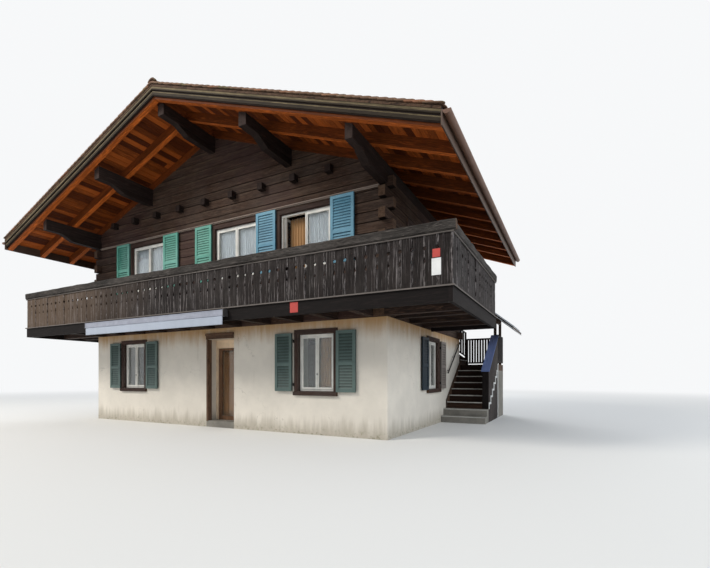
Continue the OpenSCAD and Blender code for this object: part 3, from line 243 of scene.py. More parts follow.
class Finish(Graph):
    """A material."""

    def __init__(self, name):
        self.material = bpy.data.materials.new(name)
        self.material.use_nodes = True
        super().__init__(self.material.node_tree)
        self.output = self.tree.nodes.new("ShaderNodeOutputMaterial")
        self.shader = self.tree.nodes.new("ShaderNodeBsdfPrincipled")
        self.tree.links.new(self.shader.outputs[0], self.output.inputs[0])
        self.place = self.node("ShaderNodeTexCoord", out="Object")
        self.x, self.y, self.z = self.parts(self.place)

    def stretched(self, sx, sy, sz):
        """The place on the object, stretched along each axis."""
        return self.join(self.place, (sx, sy, sz), "MULTIPLY")

    def noise(self, where, scale, detail=3.0, rough=0.5, out="Fac"):
        return self.node(
            "ShaderNodeTexNoise",
            {"noise_dimensions": "3D"},
            {"Vector": where, "Scale": scale, "Detail": detail, "Roughness": rough},
            out=out,
        )

    def cells(self, where, scale, feature="F1"):
        return self.node(
            "ShaderNodeTexVoronoi", {"feature": feature}, {"Vector": where, "Scale": scale},
            out="Distance",
        )

    def chance(self, number):
        """A random value that belongs to a number."""
        return self.node(
            "ShaderNodeTexWhiteNoise", {"noise_dimensions": "1D"}, {"W": number}, out="Value"
        )

    def attribute(self, name, out="Fac"):
        return self.node("ShaderNodeAttribute", {"attribute_name": name}, out=out)

    def facing(self, axis):
        """1 where the surface looks along an axis, either way."""
        normal = self.node("ShaderNodeNewGeometry", out="True Normal")
        return abs(self.parts(normal)["xyz".index(axis)]) > 0.7

    def ramp(self, fac, *stops):
        return self.node("ShaderNodeValToRGB", {"stops": stops}, {"Fac": fac}, out="Color")

    def step(self, value, low, high):
        """0 below low, 1 above high, and a smooth change between."""
        return self.node(
            "ShaderNodeMapRange",
            {"interpolation_type": "SMOOTHSTEP", "clamp": True},
            {"Value": value, "From Min": low, "From Max": high},
        )

    def mix(self, fac, a, b, how="MIX"):
        """Mixes two colours."""
        a, b = (c if isinstance(c, Value) else rgba(c) for c in (a, b))
        return self.node(
            "ShaderNodeMix",
            {"data_type": "RGBA", "blend_type": how, "clamp_factor": True},
            {0: fac, 6: a, 7: b},
            out=2,
        )

    def lift(self, colour, factor):
        """A colour made lighter or darker by a factor."""
        return self.mix(1.0, colour, self.vector(factor, factor, factor), "MULTIPLY")

    def bump(self, height, strength, distance):
        return self.node(
            "ShaderNodeBump",
            None,
            {"Height": height, "Strength": strength, "Distance": distance},
            out="Normal",
        )

    def surface(self, **sockets):
        for key, value in sockets.items():
            key = key.replace("_", " ")
            if isinstance(value, Value):
                self.tree.links.new(value.socket, self.shader.inputs[key])
            elif hasattr(value, "__len__"):
                self.shader.inputs[key].default_value = rgba(value)
            else:
                self.shader.inputs[key].default_value = value
        return self.material


class Recipe(Graph):
    """A rule in geometry nodes that lays copies of a template mesh."""

    def __init__(self, name, **sizes):
        tree = bpy.data.node_groups.new(name, "GeometryNodeTree")
        super().__init__(tree)
        tree.interface.new_socket("Mesh", in_out="OUTPUT", socket_type="NodeSocketGeometry")
        tree.interface.new_socket("Template", in_out="INPUT", socket_type="NodeSocketGeometry")
        for size, default in sizes.items():
            kind = {int: "Int", float: "Float", tuple: "Vector"}[type(default)]
            socket = tree.interface.new_socket(
                size, in_out="INPUT", socket_type="NodeSocket" + kind
            )
            socket.default_value = default
        tree.interface.new_socket("Material", in_out="INPUT", socket_type="NodeSocketMaterial")
        entry = tree.nodes.new("NodeGroupInput")
        self.given = {out.name: Value(self, out) for out in entry.outputs if out.name}
        self.index = self.node("GeometryNodeInputIndex")

    def chance(self, seed):
        """A random vector for each copy, from -1 to 1 along each axis."""
        return self.node(
            "FunctionNodeRandomValue", {"data_type": "FLOAT_VECTOR"},
            {0: (-1.0, -1.0, -1.0), 1: (1.0, 1.0, 1.0), "Seed": seed},
        )

    def lay(self, count, place, turn, size, kept):
        """Puts a copy on each point, gives it a tone, and ends the tree."""
        points = self.node("GeometryNodePoints", None, {"Count": count, "Position": place})
        copies = self.node(
            "GeometryNodeInstanceOnPoints", None,
            {"Points": points, "Selection": kept, "Instance": self.given["Template"],
             "Rotation": self.node("FunctionNodeEulerToRotation", None, {0: turn}),
             "Scale": size},
        )
        tone = self.node(
            "FunctionNodeRandomValue", {"data_type": "FLOAT"},
            {2: 0.0, 3: 1.0, "Seed": self.given["Seed"] + 5.0}, out=1,
        )
        toned = self.node(
            "GeometryNodeStoreNamedAttribute", {"data_type": "FLOAT", "domain": "INSTANCE"},
            {"Geometry": copies, "Name": "tone", "Value": tone},
        )
        real = self.node("GeometryNodeRealizeInstances", None, {0: toned})
        done = self.node(
            "GeometryNodeSetMaterial", None,
            {"Geometry": real, "Material": self.given["Material"]},
        )
        leave = self.tree.nodes.new("NodeGroupOutput")
        self.tree.links.new(done.socket, leave.inputs[0])
        return self.tree


def rgba(shade):
    return (*shade[:3], 1.0)


def srgb(r, g, b):
    """A colour read as 0 to 255 display values, as linear light."""
    return tuple(
        c / 12.92 if c <= 0.04045 else ((c + 0.055) / 1.055) ** 2.4
        for c in (r / 255, g / 255, b / 255)
    )


def times(shade, factor):
    return tuple(min(1.0, c * factor) for c in shade[:3])


# Settings


def shade_property(name, description, display):
    return FloatVectorProperty(
        name=name, description=description, default=srgb(*display), subtype="COLOR",
        min=0.0, max=1.0, size=3,
    )


class TimberSettings(bpy.types.PropertyGroup):
    log: shade_property("Log", "Colour of the shaded logs", (54, 37, 28))
    log_sun: shade_property("Sunned log", "Colour of logs bleached by the sun", (94, 72, 57))
    beam: shade_property("Beam", "Colour of purlins, consoles and beam heads", (37, 28, 25))
    plank: shade_property("Plank", "Colour of the balcony planks", (40, 32, 31))
    soffit: shade_property("Soffit", "Colour of the boards under the roof", (190, 97, 38))
    grey: shade_property("Grey wood", "Colour of weathered grey wood", (114, 107, 102))
    end_grain: shade_property("End grain", "Colour of sawn log ends", (96, 74, 58))
    casing: shade_property("Casing", "Colour of the window casings", (70, 52, 46))


class WallSettings(bpy.types.PropertyGroup):
    render: shade_property("Render", "Colour of the lime render", (227, 220, 208))
    stain: shade_property("Stain", "Colour of damp stains near the ground", (150, 141, 124))
    stone: shade_property("Stone", "Colour of steps and slab", (138, 134, 126))


class PaintSettings(bpy.types.PropertyGroup):
    white: shade_property("White paint", "Colour of the window frames", (219, 217, 210))
    green: shade_property("Green shutters", "Colour of the green upper shutters", (82, 148, 132))
    blue: shade_property("Blue shutters", "Colour of the blue upper shutters", (78, 132, 156))
    lower: shade_property("Lower shutters", "Colour of the lower shutters", (78, 96, 92))
    wear: FloatProperty(
        name="Wear", description="Share of the paint that has worn off", default=0.2,
        min=0.0, max=1.0, subtype="FACTOR",
    )


class RoofSettings(bpy.types.PropertyGroup):
    tile_w: FloatProperty(
        name="Tile width", description="Width of one flat tile", default=0.1717,
        min=0.12, max=0.3, unit="LENGTH",
    )
    tile_l: FloatProperty(
        name="Tile length", description="Whole length of one tile", default=0.36,
        min=0.25, max=0.45, unit="LENGTH",
    )
    tile_t: FloatProperty(
        name="Tile thickness", description="Thickness of one tile", default=0.014,
        min=0.008, max=0.03, unit="LENGTH",
    )
    courses: IntProperty(
        name="Courses", description="Number of tile courses on a slope", default=44, min=10
    )
    seed: IntProperty(name="Seed", description="Pattern of crooked tiles", default=7, min=0)
    clay: shade_property("Clay", "Colour of the weathered tiles", (124, 98, 80))
    moss: shade_property("Moss", "Colour of the moss", (88, 90, 58))


class ClothSettings(bpy.types.PropertyGroup):
    net: shade_property("Net curtain", "Colour of the white curtains", (232, 238, 248))
    brown: shade_property("Brown curtain", "Colour of the brown curtains", (170, 130, 88))
    valance: shade_property("Valance", "Colour of the awning cloth", (166, 174, 188))


class StageSettings(bpy.types.PropertyGroup):
    floor: shade_property("Floor", "Colour of the floor", (226, 225, 222))
    lens: FloatProperty(
        name="Lens", description="Focal length of the camera", default=21.14, min=10.0, max=80.0,
        unit="CAMERA",
    )
    key: FloatProperty(
        name="Key light", description="Power of the sunny lamp", default=5400.0, min=0.0,
        unit="POWER",
    )
    side: FloatProperty(
        name="Side light", description="Power of the shady lamp", default=1500.0, min=0.0,
        unit="POWER",
    )
    back: FloatProperty(
        name="Back light", description="Power of the lamp behind the house", default=3000.0,
        min=0.0, unit="POWER",
    )


class ChaletSettings(bpy.types.PropertyGroup):
    timber: PointerProperty(type=TimberSettings, name="Timber", description="Wood colours")
    wall: PointerProperty(type=WallSettings, name="Walls", description="Masonry colours")
    paint: PointerProperty(type=PaintSettings, name="Paint", description="Painted wood")
    roof: PointerProperty(type=RoofSettings, name="Roof", description="Tiles")
    cloth: PointerProperty(type=ClothSettings, name="Cloth", description="Curtains and awning")
    stage: PointerProperty(type=StageSettings, name="Stage", description="Floor and lamps")


def settings():
    return bpy.context.scene.chalet


# Grain of each kind of timber: along, across, up, number, sawn ends, seams


def by_board(f):
    """Boards bring their own grain with them as attributes."""
    along, across, up = f.parts(f.attribute("grain", "Vector"))
    return along, across, up, f.attribute("tone") * 97.0, f.attribute("end"), None


def log_courses(f, axis, along, across, wall):
    """Courses of logs along an axis; each wall's logs get numbers of their own."""
    course = (f.z - MASONRY_H) / COURSE_H
    seam = f.step(abs(course.wrap() - 0.5) * 2.0, 0.86, 1.0)
    return (along, across, (course.wrap() - 0.5) * COURSE_H, course.floor() + wall,
            f.facing(axis), seam)


def logs_x(f):
    """The front and rear log walls."""
    return log_courses(f, "x", f.x, abs(f.y - MID_Y) - (REAR_Y - MID_Y - LOG_T / 2),
                       (f.y > MID_Y) * 31.0)


def logs_y(f):
    """The log walls at the sides."""
    return log_courses(f, "y", f.y, abs(f.x) - (HALF_W - LOG_T / 2), (f.x > 0.0) * 31.0 + 60.0)


def in_rows(f, along, pitch, start, up0):
    """Beams along an axis, at even distances on the other level axis."""
    axis = {"x": f.x, "y": f.y}
    cell = (axis["y" if along == "x" else "x"] - start) / pitch + 0.5
    return (axis[along], (cell.wrap() - 0.5) * pitch, f.z - up0, cell.floor() * 1.7 + 3.0,
            f.facing(along), None)


def floor_beam_grain(f):
    """Beams along Y under the house, and joists along X under the galleries."""
    out = abs(f.x) > HALF_W
    beam = in_rows(f, "y", FLOOR_BEAM_PITCH, 0.0, FLOOR_BEAM_Z)
    joist = in_rows(f, "x", FLOOR_BEAM_PITCH, FRONT_Y + FLOOR_BEAM_PITCH / 2, FLOOR_BEAM_Z)
    return (*(a * (1.0 - out) + b * out for a, b in zip(beam[:5], joist[:5])), None)


def ceiling_beam_grain(f):
    return in_rows(f, "y", CEILING_BEAM_PITCH, CEILING_BEAM_X, CEILING_BEAM_Z)


def purlin_grain(f):
    """Beams along Y that follow the roof's slope."""
    cell = f.x / PURLIN_PITCH + 0.5
    return (f.y, (cell.wrap() - 0.5) * PURLIN_PITCH, f.z + abs(f.x) * SLOPE - PURLIN_MIDDLE_Z,
            cell.floor() * 1.7, f.facing("y"), None)


def rafter_grain(f):
    """Rafters down both slopes, their first half a gap behind the front wall."""
    cell = (f.y - FRONT_Y) / RAFTER_PITCH + 0.43
    up = (f.z + abs(f.x) * SLOPE - RIDGE_Z + RAFTER_DEPTH) * math.cos(PITCH)
    return (abs(f.x) * SLOPE_LENGTH, (cell.wrap() - 0.5) * RAFTER_PITCH, up,
            cell.floor() * 1.7 + (f.x > 0.0) * 9.0, 0.0, None)


def planks(along, across, width, start=0.0, gap=0.05):
    """Even planks along one axis beside each other on another."""
    def grain(f):
        axis = {"x": f.x, "y": f.y, "z": f.z}
        third = axis[next(a for a in "xyz" if a not in (along, across))]
        cell = (axis[across] - start) / width
        seam = f.step(abs(cell.wrap() - 0.5) * 2.0, 1.0 - gap, 1.0)
        return (axis[along], (cell.wrap() - 0.5) * width, third, cell.floor(), f.facing(along),
                seam)
    return grain


# Finishes

FINISHES = {}


def finish(name, maker, *args, **kw):
    """The finish of that name, made on its first use."""
    if name not in FINISHES:
        FINISHES[name] = maker(name, *args, **kw)
    return FINISHES[name]


def wood(name, grain, dark, light, grey=None, weather=0.35, rough=0.72, crack=0.6, knots=0.3,
         sawn=None, sun=0.0, over=None):
    """Timber with growth rings round a heart, fibre, knots, drying cracks and weathering.

    grain says how the timber lies, and over may change colour, roughness and height at last.
    """
    f = Finish(name)
    along, across, up, number, ends, seam = grain(f)
    jump = f.vector(number * 13.7, number * 7.3, number * 3.1)
    where = f.join(f.vector(along * 0.7, across * 9.0, up * 9.0), jump)
    fibre = f.noise(where, 9.0, 6.0, 0.62)
    wide = f.noise(where, 1.6, 3.0, 0.55)
    tone = f.chance(number + 0.37)
    heart = (across + (f.chance(number + 4.1) - 0.5) * 0.08, up + 0.035)
    radius = (heart[0] * heart[0] + heart[1] * heart[1]).root() + wide * 0.05
    ring = f.step((radius * 105.0).wrap(), 0.45, 1.0)
    colour = f.ramp(
        fibre * 0.50 + wide * 0.34 + ring * 0.16,
        (0.30, times(dark, 0.5)), (0.48, dark), (0.72, light),
    )
    colour = f.lift(colour, tone * 0.5 + 0.74)
    # weathered also lays the patches of painted sunlight that sun asks for
    colour = weathered(f, colour, fibre, light, grey, weather, sun)
    spots = f.cells(f.join(where, (5.0, 5.0, 5.0)), 0.42)
    knot = (1.0 - f.step(spots, 0.03, 0.085)) * knots
    colour = f.mix(knot, colour, times(dark, 0.35))
    split = f.noise(where, 3.1, 2.0, 0.4)
    line = (1.0 - f.step(abs(split - 0.5), 0.0, 0.012)) * f.step(wide, 0.45, 0.6) * crack
    colour = f.mix(line * 0.8, colour, times(dark, 0.2))
    height = fibre * 0.35 + wide * 0.25 + ring * 0.1 - line * 0.9 - knot * 0.2
    if isinstance(ends, Value):
        fresh = tuple(sawn or settings().timber.end_grain)
        star = f.noise(f.vector(up.turn_of(across) * 1.7, radius * 2.0, number), 3.0, 2.0)
        check = (1.0 - f.step(abs(star - 0.5), 0.0, 0.02)) * f.step(radius, 0.0, 0.05)
        colour = f.mix(ends * 0.9, colour, butt_end(f, fresh, dark, ring, check, wide))
        height = height + ends * (ring * 0.2 - check * 0.8)
    if seam is not None:
        colour = f.mix(seam * 0.8, colour, times(dark, 0.15))
        height = height - seam * 1.8
    roughness = fibre * 0.18 + (rough - 0.08)
    if over:
        colour, roughness, height = over(f, colour, roughness, height)
    return f.surface(
        Base_Color=colour, Roughness=roughness, Normal=f.bump(height, 0.7, 0.006),
        Specular_IOR_Level=0.14,
    )


def weathered(f, colour, fibre, light, grey, weather, sun):
    """Lightens timber in noisy patches of painted sunlight, and greys it in patches and along its
    fibre.
    """
    if sun:
        # painted sunlight: noise patches lifted towards the light colour, as strong as sun asks
        painted_sun_patch = f.step(f.noise(f.place, 0.42, 4.0, 0.62), 0.5, 0.66) * sun
        colour = f.mix(painted_sun_patch, colour, times(light, 1.25))
    if grey:
        patch = f.step(f.noise(f.stretched(0.9, 0.9, 0.9), 1.3, 4.0, 0.6), 0.40, 0.68)
        streak = f.step(fibre, 0.45, 0.62)
        colour = f.mix((patch * 0.6 + streak * 0.4) * weather, colour, grey)
    return colour


def butt_end(f, fresh, dark, ring, check, wide):
    """The colour of a sawn end: rings, cracks that run out from the heart, and dirt."""
    colour = f.mix(ring * 0.6, fresh, times(fresh, 0.5))
    colour = f.mix(check * 0.8, colour, times(dark, 0.25))
    return f.mix(f.step(wide, 0.4, 0.7) * 0.5, colour, dark)


def lime_render(name):
    """Rough white render with trowel marks, fine grit and damp stains low down."""
    s = settings().wall
    f = Finish(name)
    broad = f.noise(f.place, 0.9, 4.0, 0.6)
    trowel = f.noise(f.stretched(1.0, 1.0, 1.6), 5.0, 4.0, 0.55)
    grit = f.noise(f.place, 90.0, 3.0, 0.7)
    colour = f.mix(f.step(broad, 0.35, 0.7), times(s.render, 0.88), tuple(s.render))
    colour = f.mix(f.step(trowel, 0.55, 0.75) * 0.3, colour, times(s.render, 0.8))
    drip = f.noise(f.stretched(3.2, 3.2, 0.35), 2.2, 5.0, 0.65)
    damp = (1.0 - f.step(f.z + (drip - 0.5) * 0.7, 0.02, 0.45)) * 0.6
    runs = f.step(drip, 0.62, 0.78) * 0.2
    # darker and ochre towards the top of the ground floor's walls
    ochre_towards_top = f.step(f.z + (drip - 0.5) * 0.5, 2.05, 2.6) * 0.85
    colour = f.mix(runs, colour, s.stain)
    colour = f.mix(damp, colour, s.stain)
    colour = f.mix(ochre_towards_top, colour, srgb(172, 128, 68))
    moss = f.step(f.noise(f.place, 14.0, 5.0, 0.7), 0.5, 0.62) * (1.0 - f.step(f.z, 0.03, 0.2))
    colour = f.mix(moss * 0.5, colour, srgb(104, 104, 74))
    warped = f.join(f.place, f.noise(f.place, 2.0, 4.0, 0.6, out="Color"))
    hair = f.cells(warped, 0.55, "DISTANCE_TO_EDGE")
    crack = (1.0 - f.step(hair, 0.0, 0.005)) * f.step(broad, 0.5, 0.62)
    colour = f.mix(crack * 0.5, colour, times(s.stain, 0.55))
    room = MASONRY_T - 0.005
    inside = (abs(f.x) < HALF_W - room) * (f.y > FRONT_Y + room) * (f.y < REAR_Y - room)
    colour = f.mix(inside, colour, f.mix(trowel, srgb(128, 110, 86), srgb(150, 132, 104)))
    height = trowel + grit * 0.22 - crack * 0.8
    return f.surface(
        Base_Color=colour, Roughness=0.9, Normal=f.bump(height, 0.5, 0.008),
        Specular_IOR_Level=0.2,
    )


def rough_stone(name, shade):
    """Weathered stone or concrete with moss in patches."""
    f = Finish(name)
    cloud = f.noise(f.place, 2.4, 5.0, 0.6)
    grit = f.noise(f.place, 60.0, 4.0, 0.75)
    colour = f.mix(f.step(cloud, 0.35, 0.7), times(shade, 0.7), shade)
    colour = f.mix(f.step(grit, 0.55, 0.7) * 0.35, colour, times(shade, 0.45))
    moss = f.step(f.noise(f.place, 7.0, 5.0, 0.7), 0.56, 0.68)
    colour = f.mix(moss * 0.3, colour, srgb(96, 98, 72))
    return f.surface(
        Base_Color=colour, Roughness=0.88, Normal=f.bump(cloud * 0.6 + grit * 0.5, 0.6, 0.006),
        Specular_IOR_Level=0.25,
    )


def paint(name, shade, under, rough=0.42, shades=None, along="z"):
    """Old paint on wood: brush marks, dirt and bare chips; shades varies its colour."""
    f = Finish(name)
    stretch = {"x": (0.7, 9.0, 9.0), "y": (9.0, 0.7, 9.0), "z": (9.0, 9.0, 0.7)}[along]
    where = f.stretched(*stretch)
    brush = f.noise(where, 14.0, 4.0, 0.6)
    dirt = f.noise(f.place, 3.0, 5.0, 0.65)
    chips = f.noise(where, 5.0, 7.0, 0.75)
    wear = settings().paint.wear
    bare = f.step(chips, 0.74 - wear * 0.25, 0.76 - wear * 0.2)
    base = shades(f, shade) if shades else shade
    colour = f.lift(base, 1.04 - f.step(dirt, 0.4, 0.75) * 0.26 + brush * 0.08)
    colour = f.mix(bare * 0.8, colour, under)
    return f.surface(
        Base_Color=colour, Roughness=bare * 0.35 + dirt * 0.15 + (rough - 0.05),
        Normal=f.bump(brush * 0.3 - bare * 0.5, 0.5, 0.003), Specular_IOR_Level=0.4,
    )


def clay(name, shade, moss_shade):
    """Weathered clay tiles: each tile its own tone, lichen spots and mossy butts."""
    f = Finish(name)
    tile = f.attribute("tone")
    cloud = f.noise(f.place, 1.1, 4.0, 0.6)
    fine = f.noise(f.place, 26.0, 5.0, 0.7)
    colour = f.mix(tile, times(shade, 0.72), times(shade, 1.25))
    colour = f.mix(f.step(tile, 0.80, 0.95) * 0.6, colour, srgb(154, 100, 72))
    colour = f.lift(colour, f.chance(tile * 91.0) * 0.45 + 0.72)
    colour = f.mix(f.step(fine, 0.55, 0.75) * 0.5, colour, times(shade, 0.45))
    lichen = f.step(f.noise(f.place, 11.0, 3.0, 0.6), 0.64, 0.71)
    colour = f.mix(lichen * 0.5, colour, srgb(164, 158, 136))
    moss = f.step(f.noise(f.place, 3.2, 6.0, 0.7) + (cloud - 0.5) * 0.6, 0.56, 0.68)
    colour = f.mix(moss * 0.65, colour, moss_shade)
    height = fine * 0.5 + cloud * 0.3 + moss * f.noise(f.place, 60.0, 3.0, 0.7) * 1.2
    return f.surface(
        Base_Color=colour, Roughness=0.86, Normal=f.bump(height, 0.6, 0.005),
        Specular_IOR_Level=0.25,
    )


def metal(name, shade, rough=0.4, metallic=1.0, rust=0.0, over=None):
    """Bare or coated metal with dull clouds, fine scratches and rust."""
    f = Finish(name)
    cloud = f.noise(f.place, 5.0, 5.0, 0.6)
    fine = f.noise(f.place, 70.0, 3.0, 0.6)
    colour = f.mix(f.step(cloud, 0.35, 0.7) * 0.5, shade, times(shade, 0.66))
    spots = f.step(f.noise(f.place, 18.0, 6.0, 0.75), 0.62, 0.7) * rust
    colour = f.mix(spots, colour, (0.2, 0.08, 0.03))
    if over:
        colour = over(f, colour)
    return f.surface(
        Base_Color=colour, Roughness=cloud * 0.2 + (rough - 0.08) + spots * 0.3,
        Metallic=metallic, Normal=f.bump(fine * 0.3 + spots * 0.6, 0.3, 0.002),
    )


def pane(name, tint):
    """Window glass with a little dust."""
    f = Finish(name)
    dust = f.noise(f.place, 2.2, 5.0, 0.6)
    return f.surface(
        Base_Color=tint, Roughness=f.step(dust, 0.45, 0.8) * 0.10 + 0.02,
        Transmission_Weight=0.94, IOR=1.5, Specular_IOR_Level=0.25,
    )


def cloth(name, shade):
    """Woven cloth: crossing threads, uneven yarn and soft shade in the folds."""
    weave = 260.0
    f = Finish(name)
    fold = f.noise(f.stretched(1.0, 1.0, 0.25), 4.0, 3.0)
    warp = (f.x * (weave * 6.0)).sine() * 0.5
    weft = (f.z * (weave * 6.0)).sine() * 0.5
    thread = f.noise(f.place, weave, 2.0)
    colour = f.mix(f.step(fold, 0.3, 0.7) * 0.25, shade, times(shade, 0.78))
    colour = f.mix(f.step(thread, 0.4, 0.7) * 0.18, colour, times(shade, 1.2))
    return f.surface(
        Base_Color=colour, Roughness=0.92, Sheen_Weight=0.2, Specular_IOR_Level=0.2,
        Normal=f.bump(thread * 0.4 + fold * 0.3 + warp * weft * 0.3, 0.4, 0.002),
    )


def iron():
    return finish("iron", metal, srgb(42, 40, 40), 0.5, 0.7, 0.3)


def stone():
    return finish("stone", rough_stone, tuple(settings().wall.stone))


# Mesh helpers


class Boards:
    """Chamfered boards gathered into one mesh, each with its own tone and grain."""

    def __init__(self, seed=1):
        self.draw = random.Random(seed)
        self.points, self.faces = [], []
        self.tone, self.end, self.grain = [], [], []

    def add(self, start, end, face, width, thick, cut=0.0, edge=0.004, rough=0.0, steps=1):
        """A board whose middle runs from start to end; face points out of its broad side.

        cut is the slope of both ends across it, and rough hews its sides unevenly.
        """
        start, end = Vector(start), Vector(end)
        length = (end - start).length
        along = (end - start) / length
        across = Vector(face).cross(along).normalized()
        up = along.cross(across)
        w, t = width / 2, thick / 2
        edge = min(edge, w * 0.45, t * 0.45)
        section = [(w - edge, t), (w, t - edge), (w, edge - t), (w - edge, -t),
                   (edge - w, -t), (-w, edge - t), (-w, t - edge), (edge - w, t)]
        shift = self.draw.uniform(0.0, 20.0)
        heart = (self.draw.uniform(-0.08, 0.08), self.draw.uniform(-0.09, -0.02))
        first = len(self.points)
        count = len(section)
        for k in range(steps + 1):
            share = k / steps
            for u, v in section:
                if rough:
                    u -= math.copysign(self.draw.uniform(0.0, rough), u)
                    v -= math.copysign(self.draw.uniform(0.0, rough), v)
                a = share * length + cut * u
                self.points.append(start + along * a + across * u + up * v)
                self.grain.append((a + shift, u + heart[0], v + heart[1]))
        tone = self.draw.random()
        for k in range(steps):
            for j in range(count):
                a, b = first + k * count + j, first + k * count + (j + 1) % count
                self.faces.append((a, a + count, b + count, b))
        self.faces.append(tuple(first + j for j in range(count)))
        last = first + steps * count
        self.faces.append(tuple(last + j for j in reversed(range(count))))
        self.tone += [tone] * (steps * count + 2)
        self.end += [0.0] * (steps * count) + [1.0, 1.0]

    def shape(self, outline, place, across, up, thick, half=None, bevel=0.003):
        """A flat board with an outline drawn anticlockwise in across and up.

        half is half its width: points that lie so far out are bevelled on the outer face.
        """
        across, up = Vector(across), Vector(up)
        out = across.cross(up)
        first = len(self.points)
        count = len(outline)
        shift = self.draw.uniform(0.0, 20.0)
        rings = ((0.0, bevel), (bevel, 0.0), (thick, 0.0)) if half else ((0.0, 0.0), (thick, 0.0))
        for depth, inset in rings:
            for u, v in outline:
                if inset and abs(u) > half - 0.002:
                    u -= math.copysign(inset, u)
                self.points.append(Vector(place) + across * u + up * v - out * depth)
                self.grain.append((v + shift, u, depth - 0.05))
        for k in range(len(rings) - 1):
            for j in range(count):
                a, b = first + k * count + j, first + k * count + (j + 1) % count
                self.faces.append((a, a + count, b + count, b))
        last = first + count * (len(rings) - 1)
        self.faces.append(tuple(first + j for j in range(count)))
        self.faces.append(tuple(last + j for j in reversed(range(count))))
        self.tone += [self.draw.random()] * (count * (len(rings) - 1) + 2)
        self.end += [0.0] * (count * (len(rings) - 1) + 2)

    def mesh(self, name, toned=True):
        """The boards as a mesh that carries each one's tone, sawn ends and grain."""
        mesh = bpy.data.meshes.new(name)
        mesh.from_pydata(self.points, [], self.faces)
        if toned:
            mesh.attributes.new("tone", "FLOAT", "FACE").data.foreach_set("value", self.tone)
        mesh.attributes.new("end", "FLOAT", "FACE").data.foreach_set("value", self.end)
        flat = [c for point in self.grain for c in point]
        mesh.attributes.new("grain", "FLOAT_VECTOR", "POINT").data.foreach_set("vector", flat)
        return mesh

    def piece(self, name, material):
        """The boards as an object with one material."""
        mesh = self.mesh(name)
        mesh.materials.append(material)
        return placed(name, mesh)


def placed(name, mesh):
    piece = bpy.data.objects.new(name, mesh)
    bpy.context.collection.objects.link(piece)
    return piece


def laid(name, template, recipe, material, **sizes):
    """The copies that a recipe lays from a template mesh, as one plain piece."""
    piece = placed(name, template)
    rule = piece.modifiers.new("rule", "NODES")
    rule.node_group = recipe
    sizes["Material"] = material
    for item in recipe.interface.items_tree:
        if item.in_out == "INPUT" and item.name in sizes:
            rule[item.identifier] = sizes[item.name]
    seen = bpy.context.evaluated_depsgraph_get()
    mesh = bpy.data.meshes.new_from_object(piece.evaluated_get(seen))
    piece.modifiers.clear()
    piece.data = mesh
    mesh.name = name
    return piece


def settle(piece, slot, *replaced, body=BODY):
    """Rides the piece on its body and hides the nodes it stands for."""
    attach(piece, body)
    if replaced:
        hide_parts(*replaced)
    return piece


def dress(node, material):
    """Gives a construction node its finish."""
    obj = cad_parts[node]
    if not obj.material_slots:
        obj.data.materials.append(material)
    for place in obj.material_slots:
        place.material = material


def rows_rule():
    """Copies in even rows, each a little out of place and turned."""
    if "rows" in bpy.data.node_groups:
        return bpy.data.node_groups["rows"]
    r = Recipe("rows", Columns=1, Rows=1, Start=(0.0, 0.0, 0.0), Step=(0.0, 0.0, 0.0),
               RowStep=(0.0, 0.0, 0.0), Turn=(0.0, 0.0, 0.0), Jitter=(0.0, 0.0, 0.0),
               Wobble=(0.0, 0.0, 0.0), Seed=1)
    g = r.given
    column = r.index % g["Columns"]
    row = ((r.index + 0.01) / g["Columns"]).floor()
    place = r.join(g["Start"], r.scaled(g["Step"], column))
    place = r.join(place, r.scaled(g["RowStep"], row))
    place = r.join(place, r.join(g["Jitter"], r.chance(g["Seed"]), "MULTIPLY"))
    turn = r.join(g["Turn"], r.join(g["Wobble"], r.chance(g["Seed"] + 1.0), "MULTIPLY"))
    return r.lay(g["Columns"] * g["Rows"], place, turn, (1.0, 1.0, 1.0), True)


def tiles_rule():
    """Flat tiles on the right slope: every second course starts and ends with a half tile."""
    r = Recipe("tiles", Columns=53, Courses=44, Width=0.17, Length=0.36, Run=7.07, HalfDepth=4.55,
               Ridge=7.86, Pitch=0.358, Tilt=0.087, Lift=0.015, Wobble=(0.0, 0.0, 0.0), Seed=1)
    g = r.given
    across = g["Columns"] + 1.0
    column = r.index % across
    row = ((r.index + 0.01) / across).floor()
    odd = row % 2.0
    first = column < 0.5
    last = column > g["Columns"] - 0.5
    half = odd * first.most(last)
    y = (column + 0.5 - odd * 0.5 + half * (first - last) * 0.25) * g["Width"] - g["HalfDepth"]
    down = (row + 1.0) * g["Run"] / g["Courses"]
    place = r.vector(
        down * g["Pitch"].cosine(), y, g["Ridge"] - down * g["Pitch"].sine() + g["Lift"]
    )
    turn = r.join(
        r.vector(0.0, g["Pitch"] - g["Tilt"], 0.0),
        r.join(g["Wobble"], r.chance(g["Seed"]), "MULTIPLY"),
    )
    size = r.vector(((down - 0.01) / g["Length"]).least(1.0), 1.0 - half * 0.5, 1.0)
    return r.lay(across * g["Courses"], place, turn, size, 1.0 - last * (1.0 - odd))


def closed_sheet(name, points, columns, rows):
    """A mesh of two layers of points, the outer one first, joined along their rims."""
    wide = columns + 1
    layer = wide * (rows + 1)
    faces = []
    for j in range(rows):
        for i in range(columns):
            a = j * wide + i
            b = a + layer
            faces.append((a, a + wide, a + wide + 1, a + 1))
            faces.append((b, b + 1, b + wide + 1, b + wide))
    rim = ([j * wide for j in range(rows)] + [rows * wide + i for i in range(columns)]
           + [j * wide + columns for j in range(rows, 0, -1)] + list(range(columns, 0, -1)))
    for a, b in zip(rim, rim[1:] + rim[:1]):
        faces.append((a, a + layer, b + layer, b))
    mesh = bpy.data.meshes.new(name)
    mesh.from_pydata(points, [], faces)
    return mesh


